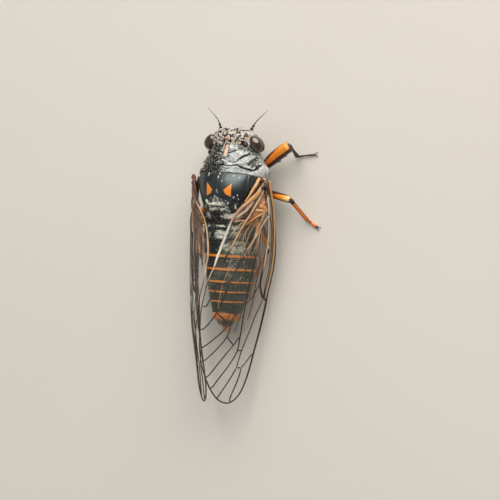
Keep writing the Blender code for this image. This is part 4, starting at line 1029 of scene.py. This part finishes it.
FOREWING_VEINS = {    # half width, place where it turns black, colour, then its line
    "costa": (0.13, 12.4, "gold", (-0.2, 0.5), (0.78, 0.94), (1.86, 1.34), (2.9, 1.55), (4.7, 1.58),
              (6.2, 1.52), (8.4, 1.32), (11, 1.1), (13, 0.75)),
    "radius_stem": (0.13, 20, "cream", (0.6, 0.0), (1.5, 0.36), (2.3, 0.54), (3.2, 0.63), (3.7, 0.62)),
    "radius": (0.05, 0, "tan", (3.55, 0.72), (4.8, 1.12), (6.2, 1.13), (8.5, 0.97), (11, 0.75), (13, 0.5)),
    "media": (0.1, 9.4, "cream", (3.6, 0.62), (5.3, 0.58), (6.8, 0.44), (8.6, 0.12), (11.3, -0.2),
              (12.2, 0.1), (13, 0.5)),
    "radial_sector": (MAIN_VEIN, 10, "tan", (13, 0.5), (13.8, 0.05), (15, -0.6), (16.6, -1.2), (18.8, -2),
                      (20.8, -2.6)),
    "anterior_radius": (FINE_VEIN, 10, "tan", (19.2, -0.45), (20, -1.2), (20.8, -1.95)),
    "radial_cross": (FINE_VEIN, 10, "tan", (20.8, -1.95), (20.8, -2.6)),
    "apical_1": (FINE_VEIN, 10, "tan", (20.8, -1.95), (21.6, -2.15), (22.8, -2.65), (24.4, -3.4)),
    "apical_2": (FINE_VEIN, 10, "tan", (20.8, -2.6), (21.6, -3.1), (22.8, -3.95), (24.1, -4.95)),
    "media_cross": (FINE_VEIN, 10, "tan", (18.8, -2), (18.9, -2.6)),
    "media_1": (FINE_VEIN, 8, "tan", (13.2, -2.05), (15, -2.3), (17.2, -2.45), (18.9, -2.6), (20.4, -3.5),
                (22, -4.8), (23.1, -5.7)),
    "media_2": (FINE_VEIN, 8, "tan", (17.2, -2.45), (18, -3), (19.2, -3.95), (20.6, -5.1), (21.9, -6.2)),
    "media_stem": (0.075, 7.6, "tan", (5.3, -0.6), (6.6, -0.85), (8.6, -1.2), (10.6, -1.55), (13.2, -2.05)),
    "media_34": (FINE_VEIN, 8, "tan", (11.3, -0.2), (13, -1.4), (14.4, -3.1), (15.6, -3.8)),
    "media_3": (FINE_VEIN, 8, "tan", (15.6, -3.8), (17.4, -4.2), (19, -5.4), (20.2, -6.65)),
    "media_4": (FINE_VEIN, 8, "tan", (15.6, -3.8), (16.8, -4.8), (17.8, -5.8), (18.7, -6.9)),
    "median_cross": (FINE_VEIN, 8, "tan", (18.3, -3.2), (17.4, -4.2)),
    "cubitus": (0.1, 7.8, "tan", (3.7, 0.55), (4.85, -0.36), (5.7, -0.9), (6.5, -1.42), (7.4, -2.0),
                (8.8, -2.75), (10, -3.5), (11.2, -4.2)),
    "cubitus_1": (FINE_VEIN, 8, "tan", (11.2, -4.2), (13, -5), (14.8, -5.7), (16.7, -7.1)),
    "cubitus_2": (FINE_VEIN, 8, "tan", (11.2, -4.2), (11.7, -5.2), (12.8, -6.2), (14.2, -6.95)),
    "cubital_cross": (FINE_VEIN, 8, "tan", (16, -4.15), (14.8, -5.7)),
    "claval": (0.115, 7.6, "tan", (0.9, -0.35), (1.45, -0.6), (2.3, -1.04), (3.0, -1.42), (3.8, -1.86),
               (4.7, -2.4), (6, -3.1), (8, -4.1), (9.8, -5.2)),
    "claval_fork": (0.06, 7.6, "tan", (4.2, -2.15), (4.97, -2.94), (5.66, -3.49), (6.4, -4.0)),
    "claval_loop": (0.06, 9, "pink", (4.39, -2.38), (4.5, -2.9), (4.7, -3.5)),
}
HINDWING_OUTLINE = (
    (3.6, 0.1), (5.5, 0.35), (8.0, 0.35), (11.0, 0.1), (13.5, -0.25), (15.4, -0.6), (16.7, -1.2),
    (17.3, -2.1), (17.35, -3.1), (16.9, -4.1), (15.8, -5.0), (14.2, -5.4), (12.0, -5.1), (10.0, -4.4),
    (8.0, -3.7), (6.0, -2.9), (4.8, -2.0), (3.6, -1.0),
)
HINDWING_VEINS = {    # half width, then its line
    "costa": (0.05, (4, -0.1), (6, 0.05), (8.5, 0.05), (11, -0.2), (13.5, -0.55), (15.6, -1.1)),
    "radius": (0.045, (4, -0.4), (7, -0.7), (10, -1.1), (13, -1.7), (15, -2.2), (17, -2.9)),
    "media": (0.04, (7, -0.7), (9.5, -1.9), (12, -2.9), (14, -3.5), (16.3, -4.3)),
    "cubitus": (0.055, (3.9, -0.45), (4.85, -1.07), (5.67, -1.69), (6.59, -2.06), (7.35, -2.42), (9, -3.05),
                (11.5, -4), (13.8, -5)),
    "loop": (0.06, (4.17, -1.09), (5.12, -1.91), (5.92, -2.48), (6.84, -2.67), (7.35, -2.42)),
    "inner_loop": (0.04, (4.26, -0.91), (4.78, -1.45), (5.34, -1.94), (5.82, -2.29), (6.6, -2.4)),
    "band": (0.06, (4.69, -0.34), (5.15, -0.61), (5.68, -0.9), (6.26, -1.17), (7.4, -1.6)),
    "second_band": (0.06, (4.95, -0.75), (5.75, -0.86), (6.54, -1.07), (7.26, -1.48), (8.6, -2.0)),
}
HINDWING_UNDER = 0.62    # how far the hindwing lies under the forewing
SKIN_HALF = 0.015        # half the skin's thickness
CELL_PUFF = 0.07         # how far it swells between the veins
NODE = 13.0              # where the leading edge bends and turns black
MARGIN_TAPER = (
    (0, 2, 4.6, 5.6, 6.4, 7.3, 8.0, 8.6, 9.3, 10.5), (1.0, 1.2, 1.2, 1.5, 1.35, 1.75, 1.5, 1.7, 1.1, 0.7),
)
COSTA_TAPER = ((0, 5, 12), (1.3, 1.15, 0.8))
STEM_TAPER = ((6, 9.5), (1.0, 0.62))
LEADING_TAPER = ((0, NODE - 0.5, NODE + 0.5, 25), (0.5, 0.7, 1.2, 0.8))


def on_roof(roof, plan, hand, under=0.0):
    """Lay places of a wing's plan on its side of the roof, or the given depth under it."""
    x, y = plan[..., 0], plan[..., 1]

    def lay(x, y):
        lead, lead_right, lead_high, trail, trail_right, trail_high, bulge = along(roof, x)
        share = (lead - y) / (lead - trail)
        across, up = trail_right - lead_right, trail_high - lead_high
        swell = 4 * share * (1 - share) * bulge / np.hypot(across, up)
        return np.stack([hand * (lead_right + share * across + up * swell), WING_ROOT_BACK + x,
                         lead_high + share * up - across * swell], -1)

    here = lay(x, y)
    outward = unit(np.cross(lay(x + 0.05, y) - here, lay(x, y + 0.05) - here))
    outward *= np.where(outward[..., :1] * hand < 0, -1, 1)
    return here - outward * np.reshape(under, np.shape(under) + (1,)), outward


def evenly(line, spacing, closed=False):
    """Spread places evenly along a smooth line through the given ones."""
    line = np.concatenate([line, line[:1]]) if closed else np.asarray(line, float)
    spots = smooth_path(line, max(3, round(run_along(line)[-1] / spacing) + 1))
    return spots[:-1] if closed else spots


def wing_skin(name, outline, veins, roof, hand, under, material):
    """Make a wing's thin closed skin, puffed a little between its veins."""
    rim = evenly(outline, 0.3, closed=True)
    lines = [evenly([spot for spot in vein if isinstance(spot, tuple)], 0.5) for vein in veins.values()]
    low, high = rim.min(0), rim.max(0)
    xs, ys = np.meshgrid(np.arange(low[0], high[0], 0.42), np.arange(low[1], high[1], 0.36))
    xs[::2] += 0.21
    inner = np.column_stack([xs.ravel(), ys.ravel()])
    edge = tuple(map(tuple, rim))
    plan = np.concatenate([rim, inner[in_shape(*inner.T, edge) > 0.16]])
    flat, _, faces, *_ = delaunay_2d_cdt([Vector(spot) for spot in plan], [], [list(range(len(rim)))], 1,
                                         0.0001)
    plan = np.array(flat)
    far = np.min([off_line(*plan.T, line) for line in (*lines, edge + edge[:1])], axis=0)
    spots, outward = on_roof(roof, plan, hand, under)
    spots = spots + outward * (CELL_PUFF * (1 - np.exp(-(far / 0.45) ** 2)))[:, None]
    total = len(plan)
    points = np.concatenate([spots + outward * SKIN_HALF, spots - outward * SKIN_HALF])
    faces = np.array(faces)
    known = set(map(tuple, np.concatenate([faces[:, [0, 1]], faces[:, [1, 2]], faces[:, [2, 0]]]).tolist()))
    border = [pair for pair in known if pair[::-1] not in known]
    walls = [(b, a, total + a) for a, b in border] + [(b, total + a, total + b) for a, b in border]
    faces = np.concatenate([faces, faces[:, ::-1] + total, np.array(walls)])
    return make_piece(name, points, faces, material)


def wing_tube(line, roof, hand, under, width, spacing=0.22, taper=None, flat=1.0, sides=12):
    """Return a vein as a grid round its line on the roof, and how far back and how far to
    its side each place lies."""
    line = np.asarray(line, float)
    start, end = (unit(way) * width * 0.6 for way in (line[0] - line[1], line[-1] - line[-2]))
    plan = evenly([line[0] + start, *line, line[-1] + end], spacing)
    spots, outward = on_roof(roof, plan, hand, under)
    radii = round_ended(spots, (width, width), 0.6)
    if taper is not None:
        radii = radii * np.interp(plan[:, 0], *taper)
    beside = np.cos(np.linspace(0, 2 * pi, sides, endpoint=False))[:, None] + 0 * plan[None, :, 0]
    return rod(spots, radii, sides, flat, outward), np.broadcast_to(plan[:, 0], beside.shape), beside


def clear_film():
    """Hyaline chitin film: a faint smoky brown tint and a wet-looking gloss with shallow ripples."""
    material, tree, where, shader = new_material("clear_wing_skin")
    tint = add(tree, "TexNoise", {"Vector": where, "Scale": METRE / 3.0, "Detail": 3.0})
    colour = add(tree, "Mix", {"Factor": tint, "A": "7E8474", "B": "A4A694"}, **COLOURS)
    lengthwise = add(tree, "Mapping", {"Vector": where, "Scale": (1.0, 0.25, 1.0)})
    ripple = add(tree, "TexNoise", {"Vector": lengthwise, "Scale": METRE / 0.4, "Detail": 3.0})
    rough = add(tree, "MapRange", {"Value": ripple, "To Min": 0.08, "To Max": 0.2})
    bump = add(tree, "Bump", {"Height": ripple, "Strength": 0.8, "Distance": 0.02 * MM})
    wire(tree, shader, {"Base Color": colour, "Roughness": rough, "Normal": bump, "Alpha": 0.05, "IOR": 1.7,
                        "Coat Weight": 1.0, "Coat Roughness": 0.05})
    return material


clear_skin = clear_film()
vein_chitin = wrinkled_chitin("vein_chitin", "B08860", "D6B48C", 0.34, "F0E4CC", 0.5, 0.004,
                              (("cream", ("D9C3A4", "C9AC88")), ("gold", ("D6A266", "B98A50")),
                               ("pink", ("D9AE90", "B98468")), ("white", ("F4F2EC", "D9D2C2")),
                               ("brown", ("7A5A3E", "553C28")), ("black", ("1E120B", "38200F"))))
VEIN_COLOURS = ("cream", "gold", "pink", "white", "brown", "black")
NONE = -1.0


def vein_piece(grid, **marks):
    """Make one vein; a colour that is not named stays off."""
    return make_bag("vein", grid, vein_chitin, bloom=0.15, **({name: NONE for name in VEIN_COLOURS} | marks))


def reaching(line, outline):
    """Carry a vein on to the wing's edge where it ends just short of it."""
    rim = evenly(outline, 0.05, closed=True)
    ends = []
    for end in (line[0], line[-1]):
        far = np.linalg.norm(rim - end, axis=1)
        ends.append([tuple(rim[far.argmin()])] if 0.02 < far.min() < 0.45 and end[0] > 10 else [])
    return [*ends[0], *line, *ends[1]]


for side_name, hand, roof in WINGS:
    for wing, outline, veins, under in (("forewing", FOREWING_OUTLINE, FOREWING_VEINS, 0.0),
                                        ("hindwing", HINDWING_OUTLINE, HINDWING_VEINS, HINDWING_UNDER)):
        fit(wing_skin(f"{wing}_skin_{side_name}", outline, veins, roof, hand, under, clear_skin),
            "wing_membrane", f"{wing}_{side_name}")
    tubes = []
    for name, (width, dark_from, colour, *line) in FOREWING_VEINS.items():
        costa = name == "costa"
        taper = COSTA_TAPER if costa else STEM_TAPER if colour == "tan" and width > 0.07 else None
        line = reaching(line, FOREWING_OUTLINE)
        grid, x, beside = wing_tube(line, roof, hand, 0.0, width, 0.22, taper, 1.2,
                                    20 if width > MAIN_VEIN else 12)
        border = (np.abs(beside) - (0.86 if width > 0.12 else 0.8)) * 0.3 if width > 0.07 else NONE
        if costa:
            border = np.maximum(border, 0.4 * (0.1 - np.abs(beside - 0.35)))
        marks = {} if colour == "tan" else {colour: 0.1}
        tubes.append(vein_piece(grid, black=np.maximum((x - dark_from) * 0.04, border),
                                brown=NONE if hand == 1 else (9 - x) * 0.03, **marks))
    grid, *_ = wing_tube(FOREWING_OUTLINE[1:18], roof, hand, 0.0, 0.1, taper=LEADING_TAPER)
    tubes.append(vein_piece(grid, black=0.2))
    grid, x, _ = wing_tube(FOREWING_OUTLINE[17:26], roof, hand, 0.0, 0.055)
    tubes.append(vein_piece(grid, black=(x - 11) * 0.04, cream=0.1))
    grid, x, _ = wing_tube(FOREWING_OUTLINE[24:35], roof, hand, 0.0, 0.1 if hand == 1 else 0.07,
                           taper=MARGIN_TAPER, flat=0.9)
    marks = {"white": (x - 4.7) * 0.05, "pink": 0.1} if hand == 1 else {}
    tubes.append(vein_piece(grid, **marks))
    fit(merge(tubes, f"forewing_veins_{side_name}"), "wing_vein", f"forewing_{side_name}")
    tubes = []
    for width, *line in HINDWING_VEINS.values():
        grid, x, _ = wing_tube(line, roof, hand, HINDWING_UNDER, width)
        tubes.append(vein_piece(grid, pink=(7.6 - x) * 0.05, black=(x - 8) * 0.03))
    grid, *_ = wing_tube(HINDWING_OUTLINE + HINDWING_OUTLINE[:1], roof, hand, HINDWING_UNDER, 0.03)
    tubes.append(vein_piece(grid, pink=0.1))
    fit(merge(tubes, f"hindwing_veins_{side_name}"), "wing_vein", f"hindwing_{side_name}")

# The wing roots
# Where each wing is hinged: small hard plates of dark and tan chitin, a cream cord along the
# shield's edge, a broad tan band on the wing's own edge, and folds of rust and orange skin.
# A near-black sheet under each hindwing is painted shade.
CORD = ((4.3, 5.6, 5.35), (3.95, 6.55, 5.6), (3.7, 7.12, 5.8), (3.35, 7.84, 5.95), (3.0, 8.4, 6.1))
FOLD = ((4.2, 6.2, 5.1), (3.95, 7.0, 5.45), (3.6, 7.7, 5.75), (3.2, 8.4, 5.95), (2.6, 9.2, 6.2))
EDGE_BAND = (
    (0.3, -0.5), (0.75, -0.84), (1.5, -1.38), (2.1, -1.88), (2.7, -2.36), (3.25, -2.8), (4.0, -3.3),
    (4.9, -3.78),
)
DARK_SPOT = ((2.95, -1.71), (3.3, -1.84), (3.67, -1.98), (4.1, -2.42), (4.25, -2.8))
PALE_FOLD = ((3.0, -2.0), (3.4, -2.3), (3.8, -2.75), (4.2, -3.2))
ROOT_BANDS = (    # line, half width, flatness, colour, how far it stands off the wing
    (EDGE_BAND, 0.12, 1.5, "gold", 0.04), (PALE_FOLD, 0.07, 1.6, "cream", 0.05),
    (DARK_SPOT, 0.09, 1.2, "black", 0.04),
)
EDGE_BAND_TAPER = ((0.3, 0.8, 1.9, 3.2, 4.9), (1.0, 1.7, 1.6, 0.75, 0.45))
HINGE_CELL = (
    (1.1, -0.8), (1.8, -1.2), (2.6, -1.5), (3.4, -1.95), (4.2, -2.5), (4.7, -3.2), (4.6, -3.5), (3.8, -3.1),
    (3.0, -2.55), (2.2, -1.9), (1.5, -1.3),
)
ROOT_FILM = (
    (1.2, 1.2), (3.0, 1.5), (6.0, 1.55), (9.0, 1.35), (11.5, 0.9), (9.5, -0.1), (7.0, -0.4), (4.6, -0.3),
    (2.6, 0.1),
)
FAN = (
    (1.61, -0.42), (1.45, 0.22), (2.32, 0.59), (3.31, 0.74), (3.53, 0.29), (3.69, -0.15), (3.84, -0.52),
    (4.15, -0.93), (4.6, -1.43), (4.96, -2.1), (4.66, -2.3), (3.98, -1.8), (3.04, -1.26),
)
# Painted shade: a near-black sheet between the hindwing's loops stands in for the shade in the gap between
# the abdomen and the wing.
SHADE_SHEET = (
    (5.06, -1.1), (5.55, -1.51), (6.1, -1.85), (6.55, -1.99), (6.99, -1.59), (6.33, -1.17), (5.53, -0.95),
)
FOLDS_OF_SKIN = (    # depth, half width, colour, then the line
    (0.2, 0.13, "gold", (3.29, -1.17), (3.2, -0.66), (3.22, -0.18), (3.33, 0.26)),
    (0.2, 0.2, "salmon", (2.75, -0.55), (2.82, -0.05), (3.02, 0.28), (3.3, 0.38)),
    (0.22, 0.1, "salmon", (2.1, 0.1), (2.55, -0.25), (2.98, -0.6), (3.3, -0.95)),
    (0.1, 0.05, "rust", (2.87, -0.86), (2.99, -0.66), (2.78, -0.46), (2.79, -0.15), (2.98, 0.04)),
    (0.18, 0.08, "salmon", (3.44, 0.18), (3.59, -0.33), (3.84, -0.82), (4.17, -1.35), (4.48, -1.8),
     (4.9, -2.3)),
    (0.18, 0.06, "tan", (3.46, 0.14), (3.87, -0.1), (4.33, -0.31), (4.73, -0.55), (5.38, -0.86),
     (6.1, -1.22)),
    (0.02, 0.07, "rust", (2.93, -1.66), (3.33, -1.88), (3.94, -2.28)),
    (0.02, 0.06, "rust", (2.98, -2.28), (3.05, -2.0)),
    (0.02, 0.07, "tan", (2.27, -1.58), (2.81, -1.9), (3.35, -2.16)),
)
ROOT_PLATES = (    # centre, half sizes, look
    ((4.55, 5.85, 4.75), (0.17, 0.2, 0.17), "tan"), ((4.4, 5.95, 5.1), (0.26, 0.26, 0.2), "rust"),
    ((4.6, 6.5, 4.55), (0.32, 0.34, 0.3), "dark"), ((4.42, 6.3, 4.9), (0.2, 0.2, 0.13), "tan"),
    ((4.35, 6.8, 5.0), (0.26, 0.34, 0.2), "dark"), ((4.75, 6.95, 4.15), (0.16, 0.42, 0.24), "rust"),
    ((4.62, 7.5, 4.2), (0.14, 0.5, 0.14), "rust"), ((4.95, 9.55, 3.9), (0.09, 0.12, 0.09), "dark"),
)
root_chitin = {
    "tan": wrinkled_chitin("tan_root_chitin", "B9835A", "E8C09A", 0.28, "F0E8DC", 0.5, 0.006),
    "salmon": wrinkled_chitin("salmon_root_skin", "C8703A", "EDA666", 0.26, "FBE3C8", 0.5, 0.006),
    "gold": wrinkled_chitin("gold_root_chitin", "D9955A", "F7C88E", 0.26, "FBE3C8", 0.4, 0.006),
    "dark": wrinkled_chitin("dark_root_chitin", "12100F", "3A3230", 0.18, "C9C6BC", 0.4, 0.003),
    "rust": wrinkled_chitin("rust_root_skin", "35100A", "6A2A16", 0.3, "A98468", 0.3, 0.004),
}


def hinge_skin(name, cover, ground, patches):
    """Thick hinge skin of the wing: half see-through, crumpled into fine glinting folds."""
    material, tree, where, shader = new_material(name)
    crumple = add(tree, "TexNoise", {"Vector": where, "Scale": METRE / 0.4, "Detail": 5.0, "Distortion": 0.8})
    spread = add(tree, "MapRange", {"Value": crumple, "From Min": 0.4, "From Max": 0.6})
    colour = add(tree, "Mix", {"Factor": spread, "A": ground, "B": patches}, **COLOURS)
    bump = add(tree, "Bump", {"Height": crumple, "Strength": 0.9, "Distance": 0.05 * MM})
    wire(tree, shader, {"Base Color": colour, "Roughness": 0.22, "Normal": bump, "Alpha": cover, "IOR": 1.6})
    return material


HINGE_SKINS = (    # name, outline, depth, material, wings that have it
    ("hinge_cell", HINGE_CELL, 0.0, hinge_skin("pink_hinge_skin", 0.45, "5A3226", "D9B09A"), (1, -1)),
    ("fan", FAN, 0.26, hinge_skin("fan_hinge_skin", 0.5, "B0602C", "F4B47A"), (1, -1)),
    # The near-black sheet below is painted shade, not a hinge skin.
    ("shade_sheet", SHADE_SHEET, HINDWING_UNDER - 0.03, hinge_skin("painted_shade_skin", 0.75, "0E0C0A", "2A1E16"),
     (1, -1)),
    ("root_film", ROOT_FILM, 0.1, hinge_skin("brown_film", 0.3, "4A3424", "8A6A4E"), (-1,)),
)
for side_name, hand, roof in WINGS:
    other = (hand, 1, 1)
    fit(make_rod(f"edge_cord_{side_name}", np.array(CORD) * other, (0.17, 0.17, 0.12, 0.07),
                 root_chitin["gold" if hand == 1 else "rust"], 60, 16, bloom=0.35), "haired_cuticle")
    fit(make_rod(f"edge_fold_{side_name}", np.array(FOLD) * other, (0.1, 0.12, 0.12, 0.08),
                 root_chitin["rust"], 60, 16, bloom=0.0), "wing_vein")
    bands = []
    for line, width, flat, colour, lift in ROOT_BANDS:
        taper = EDGE_BAND_TAPER if colour == "gold" else None
        grid, x, beside = wing_tube(line, roof, hand, -lift, width, 0.12, taper, flat, 20)
        marks = {colour: 0.1} if hand == 1 else {"brown": 0.1}
        if colour == "gold" and hand == 1:
            marks = {"gold": (3 - x) * 0.03, "pink": (x - 2.6) * 0.03, "black": (np.abs(beside) - 0.84) * 0.3}
        bands.append(vein_piece(grid, **marks))
    fit(merge(bands, f"edge_band_{side_name}"), "wing_vein")
    for number, (spot, size, look) in enumerate(ROOT_PLATES):
        grid = ball(np.array(spot) * other, size, 40, 28)
        grid = raised(grid, 0.08 * rough_field(grid, 0.25, number + 11), wrap=True)
        fit(make_bag(f"root_plate_{number}_{side_name}", grid, root_chitin[look], bloom=0.2), "wing_vein")
    folds = {"gold": [], "salmon": [], "rust": [], "tan": []}
    for depth, width, colour, *line in FOLDS_OF_SKIN:
        grid, *_ = wing_tube(line, roof, hand, depth, width, 0.1, None, 1.2, 20)
        grid = raised(grid, 0.05 * rough_field(grid, 0.2, 17), wrap=True)
        folds[colour].append(make_bag("skin_fold", grid, root_chitin[colour], bloom=0.25))
    for colour, alike in folds.items():
        fit(merge(alike, f"skin_folds_{colour}_{side_name}"), "wing_vein")
    for name, outline, under, material, hands in HINGE_SKINS:
        if hand in hands:
            veins = {"edge": outline[:3]}
            fit(wing_skin(f"{name}_{side_name}", outline, veins, roof, hand, under, material), "wing_vein")

# The hair
# Short silver hair on the thorax and abdomen, broad cream scales on the head and the cross, and
# a ragged orange brush round the tail. Each is a fine tapering blade that lies backward.
SILVER_HAIR = ("8F9493", "E6E8E4")
CREAM_SCALE = ("A8A093", "F2ECDE")
TAIL_HAIR = ("F58414", "FFB450")
PATCH_ON_MAP = 0.003     # size of one hair on the texture map
# The faces of one hair, over its seven points.
BLADE = np.array([(0, 2, 1), (0, 1, 4), (0, 4, 3), (1, 2, 5), (1, 5, 4), (2, 0, 3), (2, 3, 5), (3, 4, 6),
                  (4, 5, 6), (5, 3, 6)])


def hair_horn(name, tones):
    """Horn of one hair: each has its own shade between two tones, with a silky shine."""
    material, tree, where, shader = new_material(name)
    tone = add(tree, "Attribute", out="Fac", attribute_name="tone")
    colour = add(tree, "Mix", {"Factor": tone, "A": tones[0], "B": tones[1]}, **COLOURS)
    grain = add(tree, "TexNoise", {"Vector": where, "Scale": METRE / 0.06, "Detail": 2.0})
    rough = add(tree, "MapRange", {"Value": grain, "To Min": 0.3, "To Max": 0.55})
    bump = add(tree, "Bump", {"Height": grain, "Strength": 0.3, "Distance": 0.004 * MM})
    wire(tree, shader, {"Base Color": colour, "Roughness": rough, "Normal": bump, "IOR": 1.55})
    return material


def lay_hairs(name, slot, grid, pile, per_mm, long, wide, rise, material, seed, wrap=False, stray=0.3,
              wave=0.5):
    """Lay tapering hairs over a grid of skin places, dense where the pile is, and lying back."""
    pick = np.random.default_rng(seed)
    if wrap:
        grid, pile = np.concatenate([grid, grid[:1]]), np.concatenate([pile, pile[:1]])
    a, b, d, c = grid[:-1, :-1], grid[1:, :-1], grid[:-1, 1:], grid[1:, 1:]
    area = np.linalg.norm(np.cross(c - a, d - b), axis=-1) / 2
    want = area * held(pile[:-1, :-1] + pile[1:, 1:], 2) / 2
    count = int(want.sum() * per_mm)
    cell = pick.choice(want.size, count, p=(want / want.sum()).ravel())
    row, column = np.unravel_index(cell, want.shape)
    u, v = pick.random((2, count, 1))
    a, b, c, d = (part[row, column] for part in (a, b, c, d))
    root = a + (b - a) * u + (d - a) * v + (a + c - b - d) * u * v
    out = facing(grid)[row, column]
    back = unit(np.array([0.0, 1.0, 0.0]) - out * out[:, 1:2])
    across = np.cross(out, back)
    swing = stray * pick.standard_normal((count, 1))
    swing += wave * np.sin(2.1 * root[:, :1] + 1.3 * np.sin(1.7 * root[:, 1:2]) + seed)
    lie = back * np.cos(swing) + across * np.sin(swing)
    side = np.cross(out, lie)
    lean = rise * (0.5 + pick.random((count, 1)))
    length = long * (0.6 + 0.8 * pick.random((count, 1)))
    width = wide * (0.7 + 0.6 * pick.random((count, 1)))
    root = root - out * 0.02
    middle = root + length * 0.5 * (lie * np.cos(lean) + out * np.sin(lean))
    tip = root + length * (lie + out * np.sin(lean) * 0.55)
    spots = [root - side * width / 2, root + side * width / 2, root + out * width * 0.4,
             middle - side * width * 0.42, middle + side * width * 0.42, middle + out * width * 0.35, tip]
    faces = (np.arange(count)[:, None, None] * 7 + BLADE).reshape(-1, 3)
    tone = np.repeat(held(0.5 + 0.28 * pick.standard_normal(count)), 7)
    coat = make_piece(name, np.stack(spots, 1).reshape(-1, 3), faces, material, tone=tone)
    on_map = np.stack([(row + u[:, 0]) / want.shape[0], (column + v[:, 0]) / want.shape[1]], -1) * 0.99
    corners = np.array([(0, 0), (1, 0), (0.5, 0.3), (0, 0.5), (1, 0.5), (0.5, 0.7), (0.5, 1)]) * PATCH_ON_MAP
    unwrap = (on_map[:, None] + corners).reshape(-1, 2)
    points = np.zeros(len(coat.data.loops), np.int32)
    coat.data.loops.foreach_get("vertex_index", points)
    coat.data.uv_layers.new(name="OFBake").data.foreach_set("uv", unwrap[points].astype(np.float32).ravel())
    fit(coat, slot)


silver_hair = hair_horn("silver_hair", SILVER_HAIR)
cream_scale = hair_horn("cream_scale", CREAM_SCALE)
tail_hair = hair_horn("tail_hair", TAIL_HAIR)
head_coat = head_pile * np.clip((head_grid[..., 2] - 3.2) / 1.0, 0.2, 1) * (head_pile > 0.3)
lay_hairs("head_scales", "haired_cuticle", head_grid, head_coat, 70, 0.14, 0.045, 0.25, cream_scale, 11,
          True, 0.8, 1.2)
# Fewer silver hairs on the left half of the pronotum, which is painted in shade.
pronotum_coat = held(pronotum_pile_and_sheen - 0.08) * (peach < 0) * (1 - 0.85 * shaded_half)
lay_hairs("pronotum_hair", "haired_cuticle", pronotum_grid, pronotum_coat, 70, 0.28, 0.022, 0.12,
          silver_hair, 12)
corner_patch = blot(np.abs(pronotum_grid[..., 0]), back_on_pronotum, (3.22, 4.15), (0.5, 0.6))
speckled = (0.5 * shaded_half + 0.9 * (1 - shaded_half) * corner_patch) * (uneven > -0.1) * (peach < 0)
lay_hairs("pronotum_scales", "haired_cuticle", pronotum_grid, speckled, 55, 0.15, 0.06, 0.2, cream_scale, 15)
lay_hairs("mesonotum_scales", "black_cuticle", mesonotum_grid, held(mesonotum_pile - 0.12), 150, 0.2,
          0.035, 0.25, cream_scale, 13)
lay_hairs("metanotum_scales", "haired_cuticle", metanotum_grid, metanotum_pile, 90, 0.3, 0.04, 0.2,
          cream_scale, 14)
for number, (grid, pile) in enumerate(zip(tergite_grids, tergite_piles), start=1):
    lay_hairs(f"abdomen_hair_{number}", "haired_cuticle", grid, pile, 90, 0.26, 0.024, 0.1, silver_hair,
              20 + number, wave=0.2)
side_coat = held(under_bloom) * held((4.6 - skin_grid[..., 2]) / 0.8)
lay_hairs("side_hair", "haired_cuticle", skin_grid, side_coat, 45, 0.35, 0.03, 0.25, silver_hair, 31, True)
brush = held(1.3 - np.abs(tail_grid[..., 1] - 21.08) / 0.26)
lay_hairs("tail_brush", "orange_cuticle", tail_grid, brush, 170, 0.55, 0.036, 0.5, tail_hair, 32, True, 0.4)
